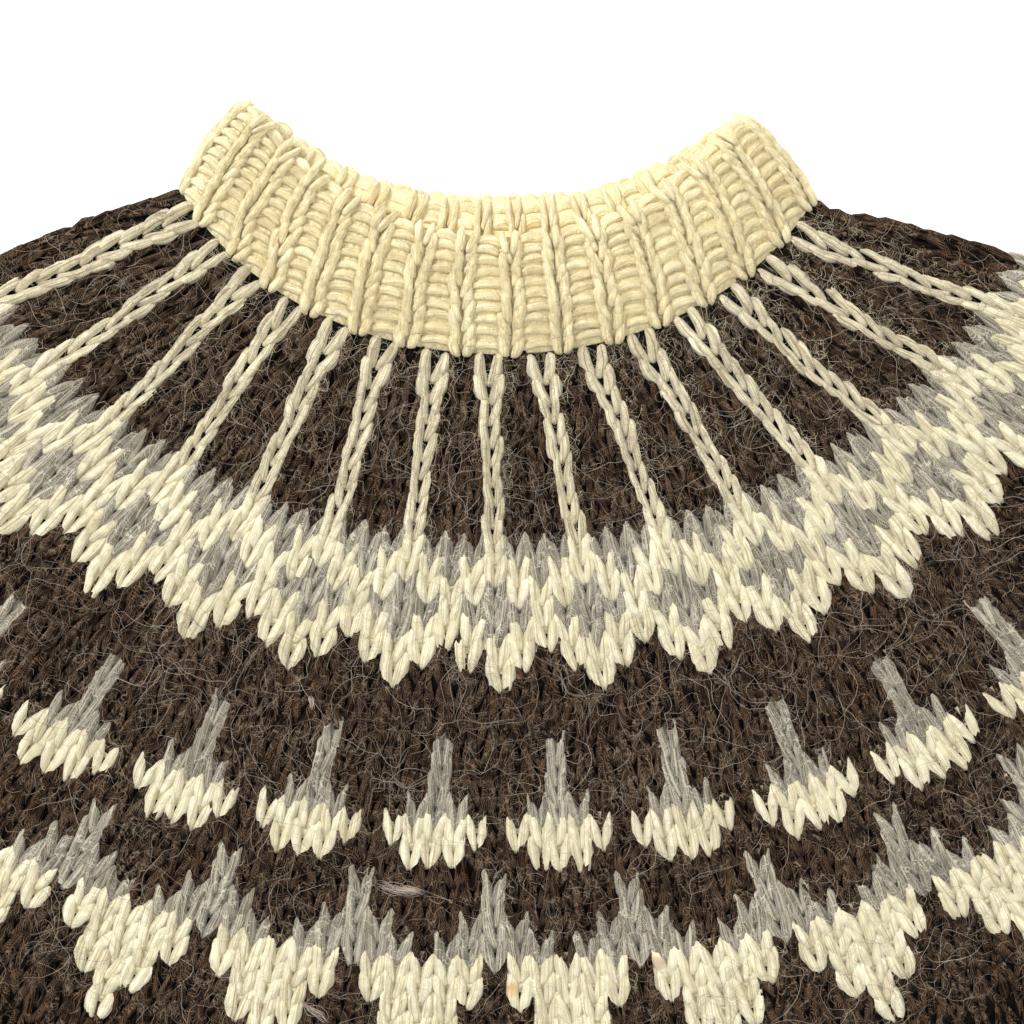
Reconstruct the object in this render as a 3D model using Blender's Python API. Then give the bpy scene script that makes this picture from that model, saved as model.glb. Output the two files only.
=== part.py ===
"""A circular-yoke wool sweater, laid out flat on its back.

Each knitted piece is a flattened tube with a real wall: the front lies on the
back, and the two turn into each other at the folds along the sides. The yoke
is worked in rounds about one centre, so its rows are arcs about that point.
All sizes are metres. X runs across the sweater, +Y towards the neck, +Z up,
and the underside lies flat at z = 0.
"""

import math

import bpy
import numpy as np

MM = 0.001
COLLECTION = "laid_sweater"

# Cloth: one layer of bulky wool, and the thin air between the front and the back
CLOTH = 4.5 * MM
AIR = 1.0 * MM
SEAM = 0.3 * MM
THICK = 2 * CLOTH + AIR

# The neckband is folded double, so each of its layers is thicker
BAND_CLOTH = 7.0 * MM
BAND_THICK = 2 * BAND_CLOTH + AIR

# Yoke: radii about the centre of its rounds
NECK_RADIUS = 125.3 * MM
UNION_RADIUS = 390.0 * MM
NECK_SIDE_EXTRA = 6.6 * MM
BACK_NECK_RISE = 13.6 * MM

# Where the sides fold: degrees from the front's centre line, out along the shoulder
FOLD_COLUMNS = ("radius", "left", "right")
FOLDS = (
    (134 * MM, 59.6, 57.8),
    (170 * MM, 61.7, 61.9),
    (200 * MM, 63.2, 63.9),
    (300 * MM, 65.5, 65.6),
    (390 * MM, 66.6, 66.6),
)

# Neckband: its base sits on the yoke, its corners stand up at the folds
BAND_TOP_RADIUS = 82.6 * MM
BAND_BASE_ANGLES = (58.9, 57.5)
BAND_CORNER_ANGLES = (67.6, 63.6)
BAND_CORNER_EXTRA = (12.0 * MM, 8.4 * MM)
BAND_FOLD_CLEAR = 0.5 * MM
BAND_RIBS = 15
BAND_RIB_RELIEF = 2.2 * MM

# Body: it hangs from the part of the union between the two underarms
UNDERARM_ANGLE = 39.7
UNDERARM_SPLIT = 0.12
BODY_COLUMNS = ("below_underarm", "half_width")
BODY_WIDTHS = (
    (0 * MM, 249.0 * MM),
    (20 * MM, 259.0 * MM),
    (60 * MM, 268.0 * MM),
    (200 * MM, 270.0 * MM),
    (330 * MM, 266.0 * MM),
    (360 * MM, 261.0 * MM),
)
HEM_DEPTH = 60 * MM
HEM_HALF_WIDTHS = (260.0 * MM, 252.0 * MM)
HEM_RIBS = 36
HEM_RIB_RELIEF = 1.6 * MM

# Sleeves: square to the chord of their opening, out to the cuffs
SLEEVE_COLUMNS = ("along", "half_width")
SLEEVE_WIDTHS = (
    (0 * MM, 90.7 * MM),
    (60 * MM, 88.0 * MM),
    (200 * MM, 76.0 * MM),
    (350 * MM, 61.0 * MM),
    (410 * MM, 54.0 * MM),
)
CUFF_DEPTH = 60 * MM
CUFF_HALF_WIDTHS = (53.0 * MM, 47.0 * MM)
CUFF_RIBS = 8
CUFF_RIB_RELIEF = 1.6 * MM

# Soft folds of the front: a low ridge from one point to another, from the yoke's centre
CREASE_COLUMNS = ("from_x", "from_y", "to_x", "to_y", "height", "half_width")
CREASES = (
    (-226 * MM, -338 * MM, -142 * MM, -396 * MM, 4.5 * MM, 15 * MM),
    (232 * MM, -334 * MM, 160 * MM, -404 * MM, 4.0 * MM, 14 * MM),
    (-196 * MM, -392 * MM, -168 * MM, -470 * MM, 3.0 * MM, 17 * MM),
    (206 * MM, -410 * MM, 190 * MM, -500 * MM, 3.2 * MM, 18 * MM),
    (-120 * MM, -500 * MM, -84 * MM, -628 * MM, 3.5 * MM, 24 * MM),
    (92 * MM, -470 * MM, 128 * MM, -600 * MM, 3.0 * MM, 26 * MM),
    (-352 * MM, -244 * MM, -322 * MM, -312 * MM, 4.5 * MM, 15 * MM),
    (-462 * MM, -292 * MM, -520 * MM, -392 * MM, 4.0 * MM, 15 * MM),
    (-560 * MM, -392 * MM, -606 * MM, -444 * MM, 3.5 * MM, 13 * MM),
    (346 * MM, -252 * MM, 330 * MM, -318 * MM, 4.0 * MM, 14 * MM),
    (478 * MM, -298 * MM, 506 * MM, -386 * MM, 4.5 * MM, 16 * MM),
    (590 * MM, -404 * MM, 600 * MM, -470 * MM, 3.5 * MM, 13 * MM),
    (-214 * MM, -176 * MM, -286 * MM, -232 * MM, 2.2 * MM, 20 * MM),
    (230 * MM, -168 * MM, 292 * MM, -236 * MM, 2.0 * MM, 20 * MM),
)
CREASE_CLEAR = 0.14

# Points round each flattened tube: the front, one fold and the back
YOKE_POINTS = (42, 4, 22)
BODY_POINTS = (24, 3, 22)
SLEEVE_POINTS = (12, 3, 10)
RIB_SHARES = (0.0, 0.28, 0.72)
BAND_BACK_POINTS = 24
HEM_BACK_POINTS = 14
CUFF_BACK_POINTS = 6
FOLD_POINTS = 4

FRONT = 0
BACK = 1

MATERIALS = {
    "brown_wool": ((0.040, 0.027, 0.019, 1.0), 0.95),
    "cream_wool": ((0.80, 0.71, 0.46, 1.0), 0.95),
}


def clear_scene():
    """Remove what Blender starts with."""
    for obj in list(bpy.data.objects):
        bpy.data.objects.remove(obj, do_unlink=True)


def wool(name):
    """Return the named yarn's material."""
    colour, roughness = MATERIALS[name]
    material = bpy.data.materials.new(name)
    material.use_nodes = True
    shader = material.node_tree.nodes["Principled BSDF"]
    shader.inputs["Base Color"].default_value = colour
    shader.inputs["Roughness"].default_value = roughness
    shader.inputs["Metallic"].default_value = 0.0
    return material


def column(table, names, name):
    """Return one named column of a table."""
    place = names.index(name)
    return [row[place] for row in table]


def fold_angle(radius, side):
    """Half angle of the yoke's front, in radians, where it folds at this radius."""
    name = "left" if side < 0 else "right"
    radii = column(FOLDS, FOLD_COLUMNS, "radius")
    return math.radians(np.interp(radius, radii, column(FOLDS, FOLD_COLUMNS, name)))


def polar(radius, angle):
    """Point at this radius, and this angle from the front's centre line."""
    return radius * math.sin(angle), -radius * math.cos(angle)


def neck_radius(across, layer):
    """Radius of the neck's seam, at a place across the half round from -1 to 1."""
    radius = NECK_RADIUS + NECK_SIDE_EXTRA * across**2
    if layer == BACK:
        radius -= BACK_NECK_RISE * (1 - abs(across) ** 3)
    return radius


def yoke_plan(down, across, layer):
    """Point of the yoke: down runs from 0 at the neck to 1 at the union."""
    nominal = NECK_RADIUS + (UNION_RADIUS - NECK_RADIUS) * down
    offset = (neck_radius(across, layer) - NECK_RADIUS) * (1 - down) ** 1.5
    return polar(nominal + offset, across * fold_angle(nominal + offset, across))


def band_plan(up, across, layer):
    """Point of the neckband: up runs from 0 at the yoke to 1 at its folded edge."""
    side = 0 if across < 0 else 1
    yoke_share = math.radians(BAND_BASE_ANGLES[side]) / fold_angle(NECK_RADIUS, across)
    base = neck_radius(across * yoke_share, layer) - SEAM - BAND_FOLD_CLEAR * across**6
    top = BAND_TOP_RADIUS + BAND_CORNER_EXTRA[side] * abs(across) ** 1.8
    if layer == BACK:
        top -= BACK_NECK_RISE * (1 - abs(across) ** 3)
    spread = BAND_BASE_ANGLES[side] + (BAND_CORNER_ANGLES[side] - BAND_BASE_ANGLES[side]) * up
    return polar(base + (top - base) * up, math.radians(across * spread))


def below_union(angle_from, angle_to, lengths, half_widths):
    """Plan of a tube that starts on the union, between two angles, and ends straight.

    Its rows are square to the chord between those angles. The first is the arc
    of the union, and the arc flattens out along the tube.
    """
    radius = UNION_RADIUS + SEAM
    middle = math.radians((angle_from + angle_to) / 2)
    half_span = math.radians((angle_to - angle_from) / 2)
    out = np.array(polar(1.0, middle))
    sideways = np.array((-out[1], out[0]))
    chord = radius * math.cos(half_span)
    first_half = radius * math.sin(half_span)

    def plan(along, across, layer):
        distance = along * lengths[-1]
        half = np.interp(distance, lengths, half_widths)
        half += (first_half - half_widths[0]) * (1 - along) ** 2
        bulge = math.sqrt(radius**2 - (across * first_half) ** 2) - chord
        reach = chord + distance + bulge * (1 - along) ** 1.2
        return tuple(out * reach + sideways * across * half)

    return plan


def rib_end(plan, depth, half_widths):
    """Plan of a ribbed end that carries on from a tube, drawn in a little."""
    origin = np.array(plan(1.0, 0.0, FRONT))
    edge = np.array(plan(1.0, 1.0, FRONT))
    sideways = (edge - origin) / np.linalg.norm(edge - origin)
    out = np.array((sideways[1], -sideways[0]))

    def end_plan(along, across, layer):
        half = half_widths[0] + (half_widths[1] - half_widths[0]) * min(1.0, 2 * along)
        reach = SEAM + along * depth
        return tuple(origin + out * reach + sideways * across * half)

    return end_plan


def crease_lift(x, y):
    """How far the soft folds lift the front at this point."""
    lift = 0.0
    for crease in CREASES:
        row = dict(zip(CREASE_COLUMNS, crease))
        start = np.array((row["from_x"], row["from_y"]))
        run = np.array((row["to_x"], row["to_y"])) - start
        place = float(np.dot(np.array((x, y)) - start, run) / np.dot(run, run))
        held = min(1.0, max(0.0, place))
        away = np.linalg.norm(np.array((x, y)) - start - held * run)
        lift += row["height"] * math.exp(-((away / row["half_width"]) ** 2))
    return lift


def rib_places(ribs):
    """Places across the front for a run of ribs: a groove, then the two edges of a rib."""
    places = [(rib + share) / ribs for rib in range(ribs) for share in RIB_SHARES]
    return places + [1.0]


def even_places(points):
    """Evenly spaced places from 0 to 1."""
    return [point / (points - 1) for point in range(points)]


def fold_inset(plan, row, side, distance):
    """Share of the half row that a distance in from its fold takes up."""
    near = np.array(plan(row, side * 0.95, FRONT))
    end = np.array(plan(row, float(side), FRONT))
    return 0.05 * distance / np.linalg.norm(end - near)


def layer_height(thick, place, ribs, relief, row_share):
    """Height of the front's outside, lower in the grooves between ribs."""
    if not ribs:
        return thick
    in_groove = abs((place * ribs) - round(place * ribs)) < 1e-6
    return thick - relief * row_share if in_groove else thick


def section(plan, row, piece):
    """Return one row's outer and inner rings of points.

    Both rings run over the front from left to right, round the right fold,
    back along the underside, and round the left fold.
    """
    thick, cloth = piece["thick"], piece["cloth"]
    middle = thick / 2
    left = -1 + fold_inset(plan, row, -1, middle)
    right = 1 - fold_inset(plan, row, 1, middle)
    thinner = piece["edge"](row)
    inside = cloth * thinner
    outer, inner = [], []
    for place in piece["front"]:
        across = left + (right - left) * place
        x, y = plan(row, across, FRONT)
        clear = min(1.0, (1 - abs(across)) / CREASE_CLEAR)
        lift = crease_lift(x, y) * clear**2 * (3 - 2 * clear) if piece["creased"] else 0.0
        top = layer_height(thick, place, piece["ribs"], piece["relief"], piece["rib_share"](row))
        drop = (cloth - inside) / 2
        outer.append((x, y, top - drop + lift))
        inner.append((x, y, thick - inside - drop + lift))
    outer_radius = middle - (cloth - inside) / 2
    inner_radius = outer_radius - inside

    def turn(side, across):
        above = np.array(plan(row, across, FRONT))
        below = np.array(plan(row, across, BACK))
        end = np.array(plan(row, float(side), FRONT))
        outward = (end - above) / np.linalg.norm(end - above)
        steps = range(1, piece["fold"])
        for step in steps if side > 0 else reversed(steps):
            angle = math.pi * step / piece["fold"]
            reach, height = math.sin(angle), math.cos(angle)
            centre = above * (1 + height) / 2 + below * (1 - height) / 2
            for ring, radius in ((outer, outer_radius), (inner, inner_radius)):
                x, y = centre + outward * radius * reach
                ring.append((x, y, middle + radius * height))

    turn(1, right)
    for place in reversed(piece["back"]):
        x, y = plan(row, left + (right - left) * place, BACK)
        drop = (cloth - inside) / 2
        outer.append((x, y, drop))
        inner.append((x, y, drop + inside))
    turn(-1, left)
    return outer, inner


def wall(name, plan, rows, piece, colour, collection):
    """Build one knitted piece: a closed wall lofted through its rows."""
    rings = [section(plan, row, piece) for row in rows]
    round_points = len(rings[0][0])
    vertices, faces = [], []
    for outer, inner in rings:
        vertices.extend(outer)
        vertices.extend(inner)
    flipped = piece["flipped"]

    def outside(row, point):
        return row * 2 * round_points + point % round_points

    def inside(row, point):
        return outside(row, point) + round_points

    def face(corners):
        faces.append(tuple(reversed(corners)) if flipped else tuple(corners))

    last = len(rows) - 1
    for point in range(round_points):
        after = point + 1
        for row in range(last):
            face((outside(row, point), outside(row + 1, point), outside(row + 1, after), outside(row, after)))
            face((inside(row, point), inside(row, after), inside(row + 1, after), inside(row + 1, point)))
        face((outside(0, point), outside(0, after), inside(0, after), inside(0, point)))
        face((outside(last, point), inside(last, point), inside(last, after), outside(last, after)))
    mesh = bpy.data.meshes.new(name)
    mesh.from_pydata(vertices, [], faces)
    mesh.materials.append(colour)
    mesh.shade_smooth()
    mesh.set_sharp_from_angle(angle=math.radians(50))
    mesh.update()
    obj = bpy.data.objects.new(name, mesh)
    collection.objects.link(obj)
    return obj


def knitted_piece(front, fold, back, **changes):
    """Describe a piece's walls and the points round them."""
    piece = {
        "front": front,
        "fold": fold,
        "back": even_places(back),
        "thick": THICK,
        "cloth": CLOTH,
        "creased": True,
        "ribs": 0,
        "relief": 0.0,
        "rib_share": lambda row: 1.0,
        "edge": lambda row: 1.0,
        "flipped": False,
    }
    piece.update(changes)
    return piece


def rolled_edge(row):
    """Share of the neckband's thickness left at a row: it rounds over at the top."""
    start = 0.86
    if row <= start:
        return 1.0
    over = (row - start) / (1 - start)
    return max(0.34, math.sqrt(1 - over**2))


def build_yoke(collection, materials):
    """The yoke, from the neck seam to the union."""
    front, fold, back = YOKE_POINTS
    rows = [step / 9 for step in range(10)]
    piece = knitted_piece(even_places(front), fold, back)
    return wall("yoke", yoke_plan, rows, piece, materials["brown_wool"], collection)


def build_neckband(collection, materials):
    """The neckband: doubled, ribbed on the front, rounded at its folded edge."""
    rows = (0.0, 0.3, 0.62, 0.86, 0.95, 1.0)
    piece = knitted_piece(
        rib_places(BAND_RIBS),
        FOLD_POINTS,
        BAND_BACK_POINTS,
        thick=BAND_THICK,
        cloth=BAND_CLOTH,
        creased=False,
        ribs=BAND_RIBS,
        relief=BAND_RIB_RELIEF,
        rib_share=lambda row: 1.0 if row < 0.9 else 0.4,
        edge=rolled_edge,
        flipped=True,
    )
    return wall("neckband", band_plan, rows, piece, materials["cream_wool"], collection)


def build_body(collection, materials):
    """The body and its ribbed hem."""
    plan = below_union(
        -UNDERARM_ANGLE + UNDERARM_SPLIT,
        UNDERARM_ANGLE - UNDERARM_SPLIT,
        column(BODY_WIDTHS, BODY_COLUMNS, "below_underarm"),
        column(BODY_WIDTHS, BODY_COLUMNS, "half_width"),
    )
    front, fold, back = BODY_POINTS
    rows = (0.0, 0.05, 0.12, 0.2, 0.3, 0.4, 0.5, 0.6, 0.7, 0.8, 0.9, 1.0)
    body = knitted_piece(even_places(front), fold, back)
    wall("body", plan, rows, body, materials["brown_wool"], collection)
    hem = knitted_piece(
        rib_places(HEM_RIBS),
        FOLD_POINTS,
        HEM_BACK_POINTS,
        creased=False,
        ribs=HEM_RIBS,
        relief=HEM_RIB_RELIEF,
    )
    hem_plan = rib_end(plan, HEM_DEPTH, HEM_HALF_WIDTHS)
    wall("hem_rib", hem_plan, (0.0, 0.5, 1.0), hem, materials["brown_wool"], collection)


def build_sleeve(side, name, cuff_name, collection, materials):
    """One sleeve and its ribbed cuff, on the left for -1 and the right for 1."""
    fold_degrees = math.degrees(fold_angle(UNION_RADIUS, side))
    angles = (UNDERARM_ANGLE + UNDERARM_SPLIT, fold_degrees)
    if side < 0:
        angles = (-angles[1], -angles[0])
    plan = below_union(
        angles[0],
        angles[1],
        column(SLEEVE_WIDTHS, SLEEVE_COLUMNS, "along"),
        column(SLEEVE_WIDTHS, SLEEVE_COLUMNS, "half_width"),
    )
    front, fold, back = SLEEVE_POINTS
    rows = [step / 10 for step in range(11)]
    sleeve = knitted_piece(even_places(front), fold, back)
    wall(name, plan, rows, sleeve, materials["brown_wool"], collection)
    cuff = knitted_piece(
        rib_places(CUFF_RIBS),
        FOLD_POINTS,
        CUFF_BACK_POINTS,
        creased=False,
        ribs=CUFF_RIBS,
        relief=CUFF_RIB_RELIEF,
    )
    cuff_plan = rib_end(plan, CUFF_DEPTH, CUFF_HALF_WIDTHS)
    wall(cuff_name, cuff_plan, (0.0, 0.5, 1.0), cuff, materials["brown_wool"], collection)


def centre_on_floor(collection):
    """Move the whole sweater so that its box is centred over the origin."""
    corners = [vertex.co for obj in collection.objects for vertex in obj.data.vertices]
    middle_x = (min(c.x for c in corners) + max(c.x for c in corners)) / 2
    middle_y = (min(c.y for c in corners) + max(c.y for c in corners)) / 2
    for obj in collection.objects:
        for vertex in obj.data.vertices:
            vertex.co.x -= middle_x
            vertex.co.y -= middle_y


def main():
    """Build every piece of the sweater."""
    clear_scene()
    collection = bpy.data.collections.new(COLLECTION)
    bpy.context.scene.collection.children.link(collection)
    materials = {name: wool(name) for name in MATERIALS}
    build_yoke(collection, materials)
    build_neckband(collection, materials)
    build_body(collection, materials)
    build_sleeve(-1, "sleeve_left", "cuff_left", collection, materials)
    build_sleeve(1, "sleeve_right", "cuff_right", collection, materials)
    centre_on_floor(collection)


main()
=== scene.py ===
"""The looks of a circular-yoke sweater in bulky wool, laid flat on a pale floor.

Every knitted piece of the frame is dressed twice: a thin wall of cloth on its
form, and the stitches that stand on that wall, one V of two plump legs of yarn
for each knit stitch and one bar for each purl. Loose hairs lie over the yoke
and the neckband.
"""

import logging
import math
from dataclasses import dataclass, field, replace
from enum import Enum
from typing import Callable, Optional, Sequence, Union

import bpy
import numpy as np
from mathutils import Matrix, Vector


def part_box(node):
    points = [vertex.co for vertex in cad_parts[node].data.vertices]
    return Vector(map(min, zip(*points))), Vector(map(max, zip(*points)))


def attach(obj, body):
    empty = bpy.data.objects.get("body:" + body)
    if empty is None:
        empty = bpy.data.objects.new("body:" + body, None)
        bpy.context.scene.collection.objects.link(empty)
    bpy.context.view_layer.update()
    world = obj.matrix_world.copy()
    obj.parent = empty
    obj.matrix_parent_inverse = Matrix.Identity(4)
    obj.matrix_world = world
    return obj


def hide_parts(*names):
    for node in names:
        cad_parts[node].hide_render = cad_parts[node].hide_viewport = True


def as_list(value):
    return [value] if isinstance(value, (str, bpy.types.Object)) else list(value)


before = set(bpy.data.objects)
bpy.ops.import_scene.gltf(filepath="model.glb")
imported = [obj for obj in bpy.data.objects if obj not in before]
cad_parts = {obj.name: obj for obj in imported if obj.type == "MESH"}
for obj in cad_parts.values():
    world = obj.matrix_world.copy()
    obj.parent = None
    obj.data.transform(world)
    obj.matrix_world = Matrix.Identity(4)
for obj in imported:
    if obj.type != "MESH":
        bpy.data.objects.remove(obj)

LOG = logging.getLogger("sweater")
MM = 0.001
BODY = "root"
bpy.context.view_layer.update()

# The photograph: its scale, and where the centre of the yoke's rounds lies in it
PIXEL = 0.35 * MM
PHOTO_SIDE = 1024
PHOTO_CENTRE = (500.0, 0.0)

# The garment's driving sizes, as the frame has them
CLOTH = 4.5 * MM
AIR = 1.0 * MM
SEAM = 0.3 * MM
THICK = 2 * CLOTH + AIR
BAND_CLOTH = 7.0 * MM
BAND_THICK = 2 * BAND_CLOTH + AIR
NECK_RADIUS = 124.0 * MM
UNION_RADIUS = 390.0 * MM
NECK_SIDE_EXTRA = 6.6 * MM
NECK_SIDE_BULGE = 8.0 * MM
BACK_NECK_RISE = 13.6 * MM
BAND_TOP_RADIUS = 82.6 * MM
REPEATS = 30

UP = Vector((0.0, 0.0, 1.0))

Rgb = tuple[float, float, float]
Piece = bpy.types.Object
Material = bpy.types.Material
Socket = bpy.types.NodeSocket
Plan = tuple[np.ndarray, np.ndarray]


class Layer(Enum):
    """The two layers of a tube that is laid flat."""

    FRONT = 0
    BACK = 1


class Yarn(Enum):
    """The three undyed yarns, by their letter in the charts."""

    CREAM = "C"
    GREY = "G"
    BROWN = "B"


class Stitch(Enum):
    """How a stitch shows on the outside."""

    KNIT = "knit"
    PURL = "purl"


def yoke_centre() -> Vector:
    """Find the point on the floor about which all rounds of the yoke are arcs."""
    low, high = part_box("yoke")
    return Vector(((low[0] + high[0]) / 2, low[1] + UNION_RADIUS, 0.0))


CENTRE = yoke_centre()


def photo_point(x: float, y: float) -> np.ndarray:
    """Turn a pixel of the photograph into a place on the laid sweater, in metres."""
    return np.array(((x - PHOTO_CENTRE[0]) * PIXEL, (PHOTO_CENTRE[1] - y) * PIXEL))


def smooth(share: np.ndarray) -> np.ndarray:
    """Ease a share between 0 and 1."""
    held = np.clip(share, 0.0, 1.0)
    return held * held * (3 - 2 * held)


def linear(red: float, green: float, blue: float) -> Rgb:
    """Turn an sRGB colour into Blender's linear one.

    Args:
        red: Red, from 0 to 255.
        green: Green, from 0 to 255.
        blue: Blue, from 0 to 255.

    Returns:
        The linear colour, from 0 to 1.
    """

    def channel(value: float) -> float:
        """Turn one channel into its linear share."""
        share = value / 255
        return share / 12.92 if share <= 0.04045 else ((share + 0.055) / 1.055) ** 2.4

    return channel(red), channel(green), channel(blue)


# Forms: where the cloth lies, as the frame has it


@dataclass(frozen=True)
class Crease:
    """A soft fold of the front, from one point to another, from the yoke's centre."""

    start: tuple[float, float]
    end: tuple[float, float]
    height: float
    half_width: float

    def lift(self, x: np.ndarray, y: np.ndarray) -> np.ndarray:
        """How far this fold lifts the front at these places.

        Args:
            x: Places across, from the yoke's centre.
            y: Places along, from the yoke's centre.

        Returns:
            The height to add at each place.
        """
        run_x, run_y = self.end[0] - self.start[0], self.end[1] - self.start[1]
        square = run_x**2 + run_y**2
        along = ((x - self.start[0]) * run_x + (y - self.start[1]) * run_y) / square
        held = np.clip(along, 0.0, 1.0)
        away = np.hypot(x - self.start[0] - held * run_x, y - self.start[1] - held * run_y)
        return self.height * np.exp(-((away / self.half_width) ** 2))


def crease(x0: float, y0: float, x1: float, y1: float, height: float, half_width: float) -> Crease:
    """Make a crease from sizes in millimetres."""
    return Crease((x0 * MM, y0 * MM), (x1 * MM, y1 * MM), height * MM, half_width * MM)


CREASES = (
    crease(-226, -338, -142, -396, 4.5, 15),
    crease(232, -334, 160, -404, 4.0, 14),
    crease(-196, -392, -168, -470, 3.0, 17),
    crease(206, -410, 190, -500, 3.2, 18),
    crease(-120, -500, -84, -628, 3.5, 24),
    crease(92, -470, 128, -600, 3.0, 26),
    crease(-352, -244, -322, -312, 4.5, 15),
    crease(-462, -292, -520, -392, 4.0, 15),
    crease(-560, -392, -606, -444, 3.5, 13),
    crease(346, -252, 330, -318, 4.0, 14),
    crease(478, -298, 506, -386, 4.5, 16),
    crease(590, -404, 600, -470, 3.5, 13),
    crease(-214, -176, -286, -232, 2.2, 20),
    crease(230, -168, 292, -236, 2.0, 20),
)
CREASE_CLEAR = 0.14


def polar(radius: np.ndarray, angle: np.ndarray) -> Plan:
    """Place at this radius, and this angle from the front's centre line."""
    return radius * np.sin(angle), -radius * np.cos(angle)


# The folds lie a quarter of the way round from the middle of the front
FOLD_SHARE = 0.25


def frontal(held: np.ndarray) -> np.ndarray:
    """How much of the front these shares are in: 1 at its middle, 0 from the folds on."""
    return np.clip(1 - (held / FOLD_SHARE) ** 2, 0.0, 1.0)


@dataclass(frozen=True)
class Skin:
    """How far in from the frame's own surface a ring of the tube runs."""

    top: float
    bottom: float
    side: float


@dataclass(frozen=True)
class Form:
    """A tube laid flat: rows along it, and a closed ring of cloth round each row."""

    thick: float = THICK
    creased: bool = True
    toward_neck: int = -1
    front_samples: int = 181
    back_samples: int = 121
    fold_samples: int = 9
    fold_reach: float = 0.05

    def plan(self, row: float, across: np.ndarray, layer: Layer) -> Plan:
        """Place of the cloth, seen from above, at a share across the half round from -1 to 1."""
        raise NotImplementedError

    def crown(self, row: float, across: np.ndarray) -> np.ndarray:
        """How far the front stands above or below the frame's thickness at a row."""
        return np.zeros_like(across)

    def lift(self, x: np.ndarray, y: np.ndarray, across: np.ndarray) -> np.ndarray:
        """Height that soft folds and the unevenness of the cloth add to the front.

        Args:
            x: Places across, from the yoke's centre.
            y: Places along, from the yoke's centre.
            across: Shares across the half round, from -1 to 1.

        Returns:
            The height to add at each place.
        """
        clear = smooth((1 - np.abs(across)) / CREASE_CLEAR)
        total = np.zeros_like(x)
        if self.creased:
            for fold in CREASES:
                total = total + fold.lift(x, y)
        uneven = 0.5 * MM * np.sin(x * 71 + y * 43) + 0.4 * MM * np.sin(x * 37 - y * 83 + 1.3)
        return (total + uneven) * clear

    def eased(self, row: float, shares: np.ndarray) -> np.ndarray:
        """Move shares of the way round to where the laid cloth carries them."""
        return shares

    def ring(self, row: float, skin: Skin) -> Plan:
        """Trace the ring of cloth at a row, from the middle of the front to the right.

        Args:
            row: Place along the tube, from 0 to 1.
            skin: How far in from the frame's surface the ring runs.

        Returns:
            The ring's points, closed, and each one's share of the way round.
        """
        top = self.thick - skin.top
        radius = (top - skin.bottom) / 2
        middle = (top + skin.bottom) / 2
        ends = {}
        for side in (-1.0, 1.0):
            pair = np.array([side * (1 - self.fold_reach), side])
            near = np.array(self.plan(row, pair, Layer.FRONT))
            reach = float(np.linalg.norm(near[:, 1] - near[:, 0]))
            ends[side] = side * (1 - self.fold_reach * (radius + skin.side) / reach)
        count = self.front_samples // 2
        right_half = np.linspace(0.0, ends[1.0], count)
        left_half = np.linspace(ends[-1.0], 0.0, count)
        pieces = [self.front_run(row, right_half, top)]
        pieces.append(self.fold_run(row, 1.0, ends[1.0], radius, middle))
        back = np.linspace(ends[1.0], ends[-1.0], self.back_samples)
        x, y = self.plan(row, back, Layer.BACK)
        pieces.append(np.stack((x, y, np.full_like(x, skin.bottom)), axis=1))
        pieces.append(self.fold_run(row, -1.0, ends[-1.0], radius, middle))
        pieces.append(self.front_run(row, left_half, top))
        points = np.concatenate(pieces)
        steps = np.linalg.norm(np.diff(points, axis=0), axis=1)
        length = np.concatenate(((0.0,), np.cumsum(steps)))
        return points, length / length[-1]

    def front_run(self, row: float, across: np.ndarray, top: float) -> np.ndarray:
        """Trace part of the front layer at a row."""
        x, y = self.plan(row, across, Layer.FRONT)
        return np.stack((x, y, top + self.lift(x, y, across) + self.crown(row, across)), axis=1)

    def fold_run(self, row: float, side: float, across: float, radius: float, middle: float) -> np.ndarray:
        """Trace the fold on one side, from the front down on the right and up on the left.

        Args:
            row: Place along the tube.
            side: 1 for the right and -1 for the left.
            across: Where the fold starts, as a share across the half round.
            radius: The fold's own radius.
            middle: Height of the fold's middle.

        Returns:
            The fold's points, in order.
        """
        pair = np.array([across, side])
        above = np.array(self.plan(row, pair, Layer.FRONT))
        below = np.array(self.plan(row, pair, Layer.BACK))[:, 0]
        outward = above[:, 1] - above[:, 0]
        outward = outward / np.linalg.norm(outward)
        drop = float(self.crown(row, np.array([across]))[0])
        angles = np.linspace(0.0, math.pi, self.fold_samples + 2)[1:-1]
        if side < 0:
            angles = angles[::-1]
        places = []
        for angle in angles:
            height = math.cos(angle)
            centre = above[:, 0] * (1 + height) / 2 + below * (1 - height) / 2
            x, y = centre + outward * radius * math.sin(angle)
            places.append((x, y, middle + radius * height + drop * (1 + height) / 2))
        return np.array(places)

    def sample(self, row: float, shares: np.ndarray, skin: Skin) -> np.ndarray:
        """Places in the frame at these shares of the way round a row.

        Args:
            row: Place along the tube, from 0 to 1.
            shares: Shares of the way round.
            skin: How far in the places lie.

        Returns:
            The places, one a row.
        """
        points, length = self.ring(row, skin)
        turned = np.mod(self.eased(row, shares), 1.0)
        x, y, z = (np.interp(turned, length, points[:, axis]) for axis in range(3))
        return np.stack((x + CENTRE.x, y + CENTRE.y, z), axis=1)

    def girth(self, row: float) -> float:
        """Length of the cloth all round at a row."""
        points, _ = self.ring(row, Skin(0.0, 0.0, 0.0))
        return float(np.sum(np.linalg.norm(np.diff(points, axis=0), axis=1)))

    def cut_area(self) -> float:
        """Flat area of the cloth all round.

        Returns:
            The mean girth by the mean length.
        """
        rows = np.linspace(0.0, 1.0, 9)
        girths = [self.girth(row) for row in rows]
        return float(np.mean(girths)) * self.mean_span()

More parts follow.
